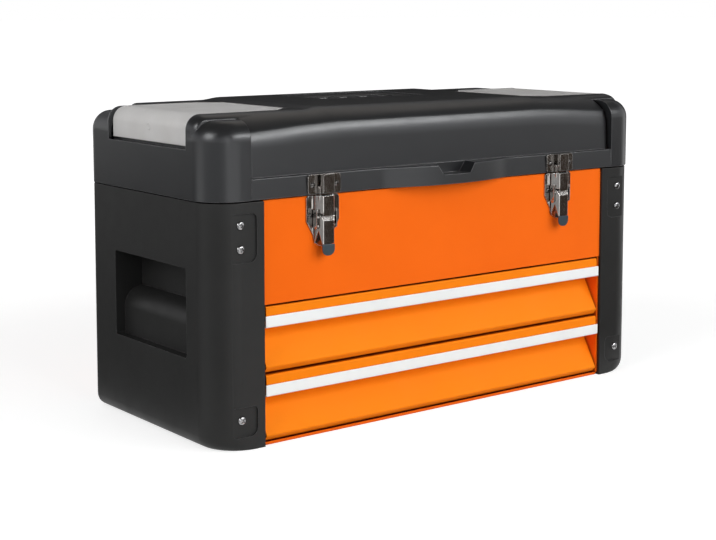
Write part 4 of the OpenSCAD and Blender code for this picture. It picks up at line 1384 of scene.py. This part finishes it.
@dataclass
class Studio:
    """Camera, lamps, pale floor and white surroundings."""

    camera_at: Point = (-0.87735, -1.10634, 0.36359)
    yaw: float = 0.65771
    pitch: float = 0.09982
    lens: float = 75.135
    shift: float = -0.16
    floor_half: float = 30.0
    floor_drop: float = 0.0002

    def camera(self) -> None:
        """Looks along (sin yaw cos pitch, cos yaw cos pitch, -sin pitch), with level sides."""
        data = bpy.data.cameras.new("camera")
        data.lens = self.lens
        data.sensor_width = 36.0
        data.sensor_fit = "HORIZONTAL"
        data.shift_y = self.shift
        made = shown("camera", data)
        made.location = self.camera_at
        made.rotation_euler = (QUARTER - self.pitch, 0.0, -self.yaw)
        bpy.context.scene.camera = made

    def lamp(self, name: str, at: Point, size: Span, radiance: float, seen: Seen = Seen.ALL,
             aim: Point = (0.0, -0.05, 0.2), colour: Colour = (1.0, 1.0, 1.0)) -> None:
        """Adds a rectangular soft box.

        Args:
            name: name of the lamp.
            at: its place in metres.
            size: its width and height in metres.
            radiance: how bright its face looks.
            seen: what it shows in.
            aim: the point that it faces.
            colour: its tint.
        """
        data = bpy.data.lights.new(name, "AREA")
        data.shape = "RECTANGLE"
        data.size, data.size_y = size
        data.energy = radiance * math.pi * size[0] * size[1]
        data.color = colour
        made = shown(name, data)
        made.location = at
        made.rotation_euler = (Vector(aim) - Vector(at)).to_track_quat("-Z", "Y").to_euler()
        seen.limit(made)

    def sheet(self, name: str, corners: list[Point]) -> tuple[bpy.types.Object, Recipe]:
        """Adds a flat sheet to the stage, with a new material.

        Args:
            name: name of the sheet.
            corners: its four corners in metres.

        Returns:
            The sheet and the recipe of its material.
        """
        mesh = bpy.data.meshes.new(name)
        mesh.from_pydata(corners, [], [(0, 1, 2, 3)])
        mesh.materials.append(bpy.data.materials.new(name))
        made = shown(name, mesh)
        return made, Recipe(mesh.materials[0])

    def floor(self) -> None:
        """Pale floor that fades to white before the camera and keeps the shadow."""
        plan = rectangle(-self.floor_half, -self.floor_half, self.floor_half, self.floor_half)
        made, recipe = self.sheet("floor", [(x, y, 0.0) for x, y in plan])
        made.location.z = -self.floor_drop
        tone = recipe.ramp(recipe.noise(400.0), (0.3, (0.49, 0.49, 0.49)), (0.7, (0.51, 0.51, 0.51)))
        matt = recipe.add("BsdfDiffuse", tone)
        away = recipe.add("VectorMath", recipe.place, operation="LENGTH").outputs["Value"]
        glow = recipe.add("Emission", WHITE, recipe.span(away, 0.7, 1.0, 0.5, 1.5))
        looked_at = recipe.rays("Camera", "Transmission", "Glossy")
        recipe.surface(recipe.add("MixShader", looked_at, matt, recipe.add("AddShader", matt, glow)))

    def card(self, name: str, corners: list[Point], colour: Colour) -> None:
        """Adds a card that only mirrors see.

        Args:
            name: name of the card.
            corners: its four corners in metres.
            colour: its colour.
        """
        made, recipe = self.sheet(name, corners)
        recipe.surface(recipe.add("Emission", (*colour, 1.0), 1.0))
        made.visible_shadow = False
        Seen.MIRRORS.limit(made)

    def surroundings(self) -> None:
        """White where the camera or glass looks, a soft grey sky for light and mirrors."""
        world = bpy.data.worlds.new("surroundings")
        bpy.context.scene.world = world
        recipe = Recipe(world, "OutputWorld")
        height = recipe.add("SeparateXYZ", recipe.add("TexCoord").outputs["Generated"]).outputs["Z"]
        sky = recipe.ramp(height, (0.0, (1.0, 1.0, 1.0)), (0.34, (0.85, 0.85, 0.88)),
                          (0.52, (0.12, 0.12, 0.12)), (1.0, (0.16, 0.15, 0.14)))
        tones = ((WHITE, 0.2), (sky, 1.0), (WHITE, 1.0))
        soft, glossy, white = (recipe.add("Background", colour, strength) for colour, strength in tones)
        light = recipe.add("MixShader", recipe.rays("Glossy"), soft, glossy)
        recipe.surface(recipe.add("MixShader", recipe.rays("Camera", "Transmission"), light, white))

    def build(self) -> None:
        """Sets up the whole studio."""
        self.camera()
        self.floor()
        self.surroundings()
        self.lamp("key_box", (0.62, -2.05, 1.15), (2.4, 1.7), 3.1, Seen.SOFT)
        self.lamp("low_box", (-0.5, -2.7, 0.5), (1.8, 0.8), 1.9, Seen.SOFT)
        self.lamp("left_box", (-2.1, -0.4, 1.4), (1.0, 1.0), 7.1)
        self.lamp("rear_box", (0.9, 2.6, 0.7), (1.8, 1.0), 3.6, Seen.SOFT)
        self.lamp("crease_box", (0.9, -1.8, 1.28), (1.7, 0.29), 16.8, Seen.MIRRORS, (0.0, -0.09, 0.26))
        self.lamp("corner_box", (-0.75, -2.0, 0.75), (0.17, 1.3), 4.3, Seen.MIRRORS, (-0.2, -0.1, 0.2))
        self.lamp("warm_box", (1.0, 0.85, 1.75), (1.3, 0.9), 0.44, Seen.MIRRORS, colour=(1.0, 0.92, 0.84))
        self.card("front_card", [(-0.05, -0.14, 0.001), (0.60, -0.14, 0.001), (8.0, -2.2, 0.001),
                                 (1.5, -3.6, 0.001)], (0.06, 0.048, 0.040))
        self.card("left_card", [(-0.27, -0.05, 0.001), (-5.5, 3.5, 0.001), (-2.0, 5.0, 0.001),
                                (-0.27, 1.0, 0.001)], (0.11, 0.11, 0.11))
        self.card("corner_card", [(-0.27, -0.15, 0.001), (-1.33, -3.84, 0.001), (-4.5, -2.5, 0.001),
                                  (-4.06, 0.39, 0.001)], (0.42, 0.42, 0.42))
        self.card("back_card", [(2.1, 0.3, 0.0), (-0.1, 2.2, 0.0), (-0.1, 2.2, 1.0), (2.1, 0.3, 1.0)],
                  (0.012, 0.012, 0.013))
        bpy.context.scene.view_settings.view_transform = "Standard"


def main() -> None:
    """Builds the studio, the finishes and every replaced piece in order."""
    logging.basicConfig(level=logging.INFO, format="%(message)s")
    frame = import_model()
    Studio().build()
    CarriedOver().dress(frame["nodes"])
    lid = Lid()
    lid.build()
    EndCap().build()
    CapScrews().build()
    Drawer("lower", 2.7).build()
    Drawer("upper", 60.6).build()
    BinCover().build(lid)
    Latch("left", -1).build()
    Latch("right", 1).build()
    CarryHandle().build()


if __name__ == "__main__":
    main()
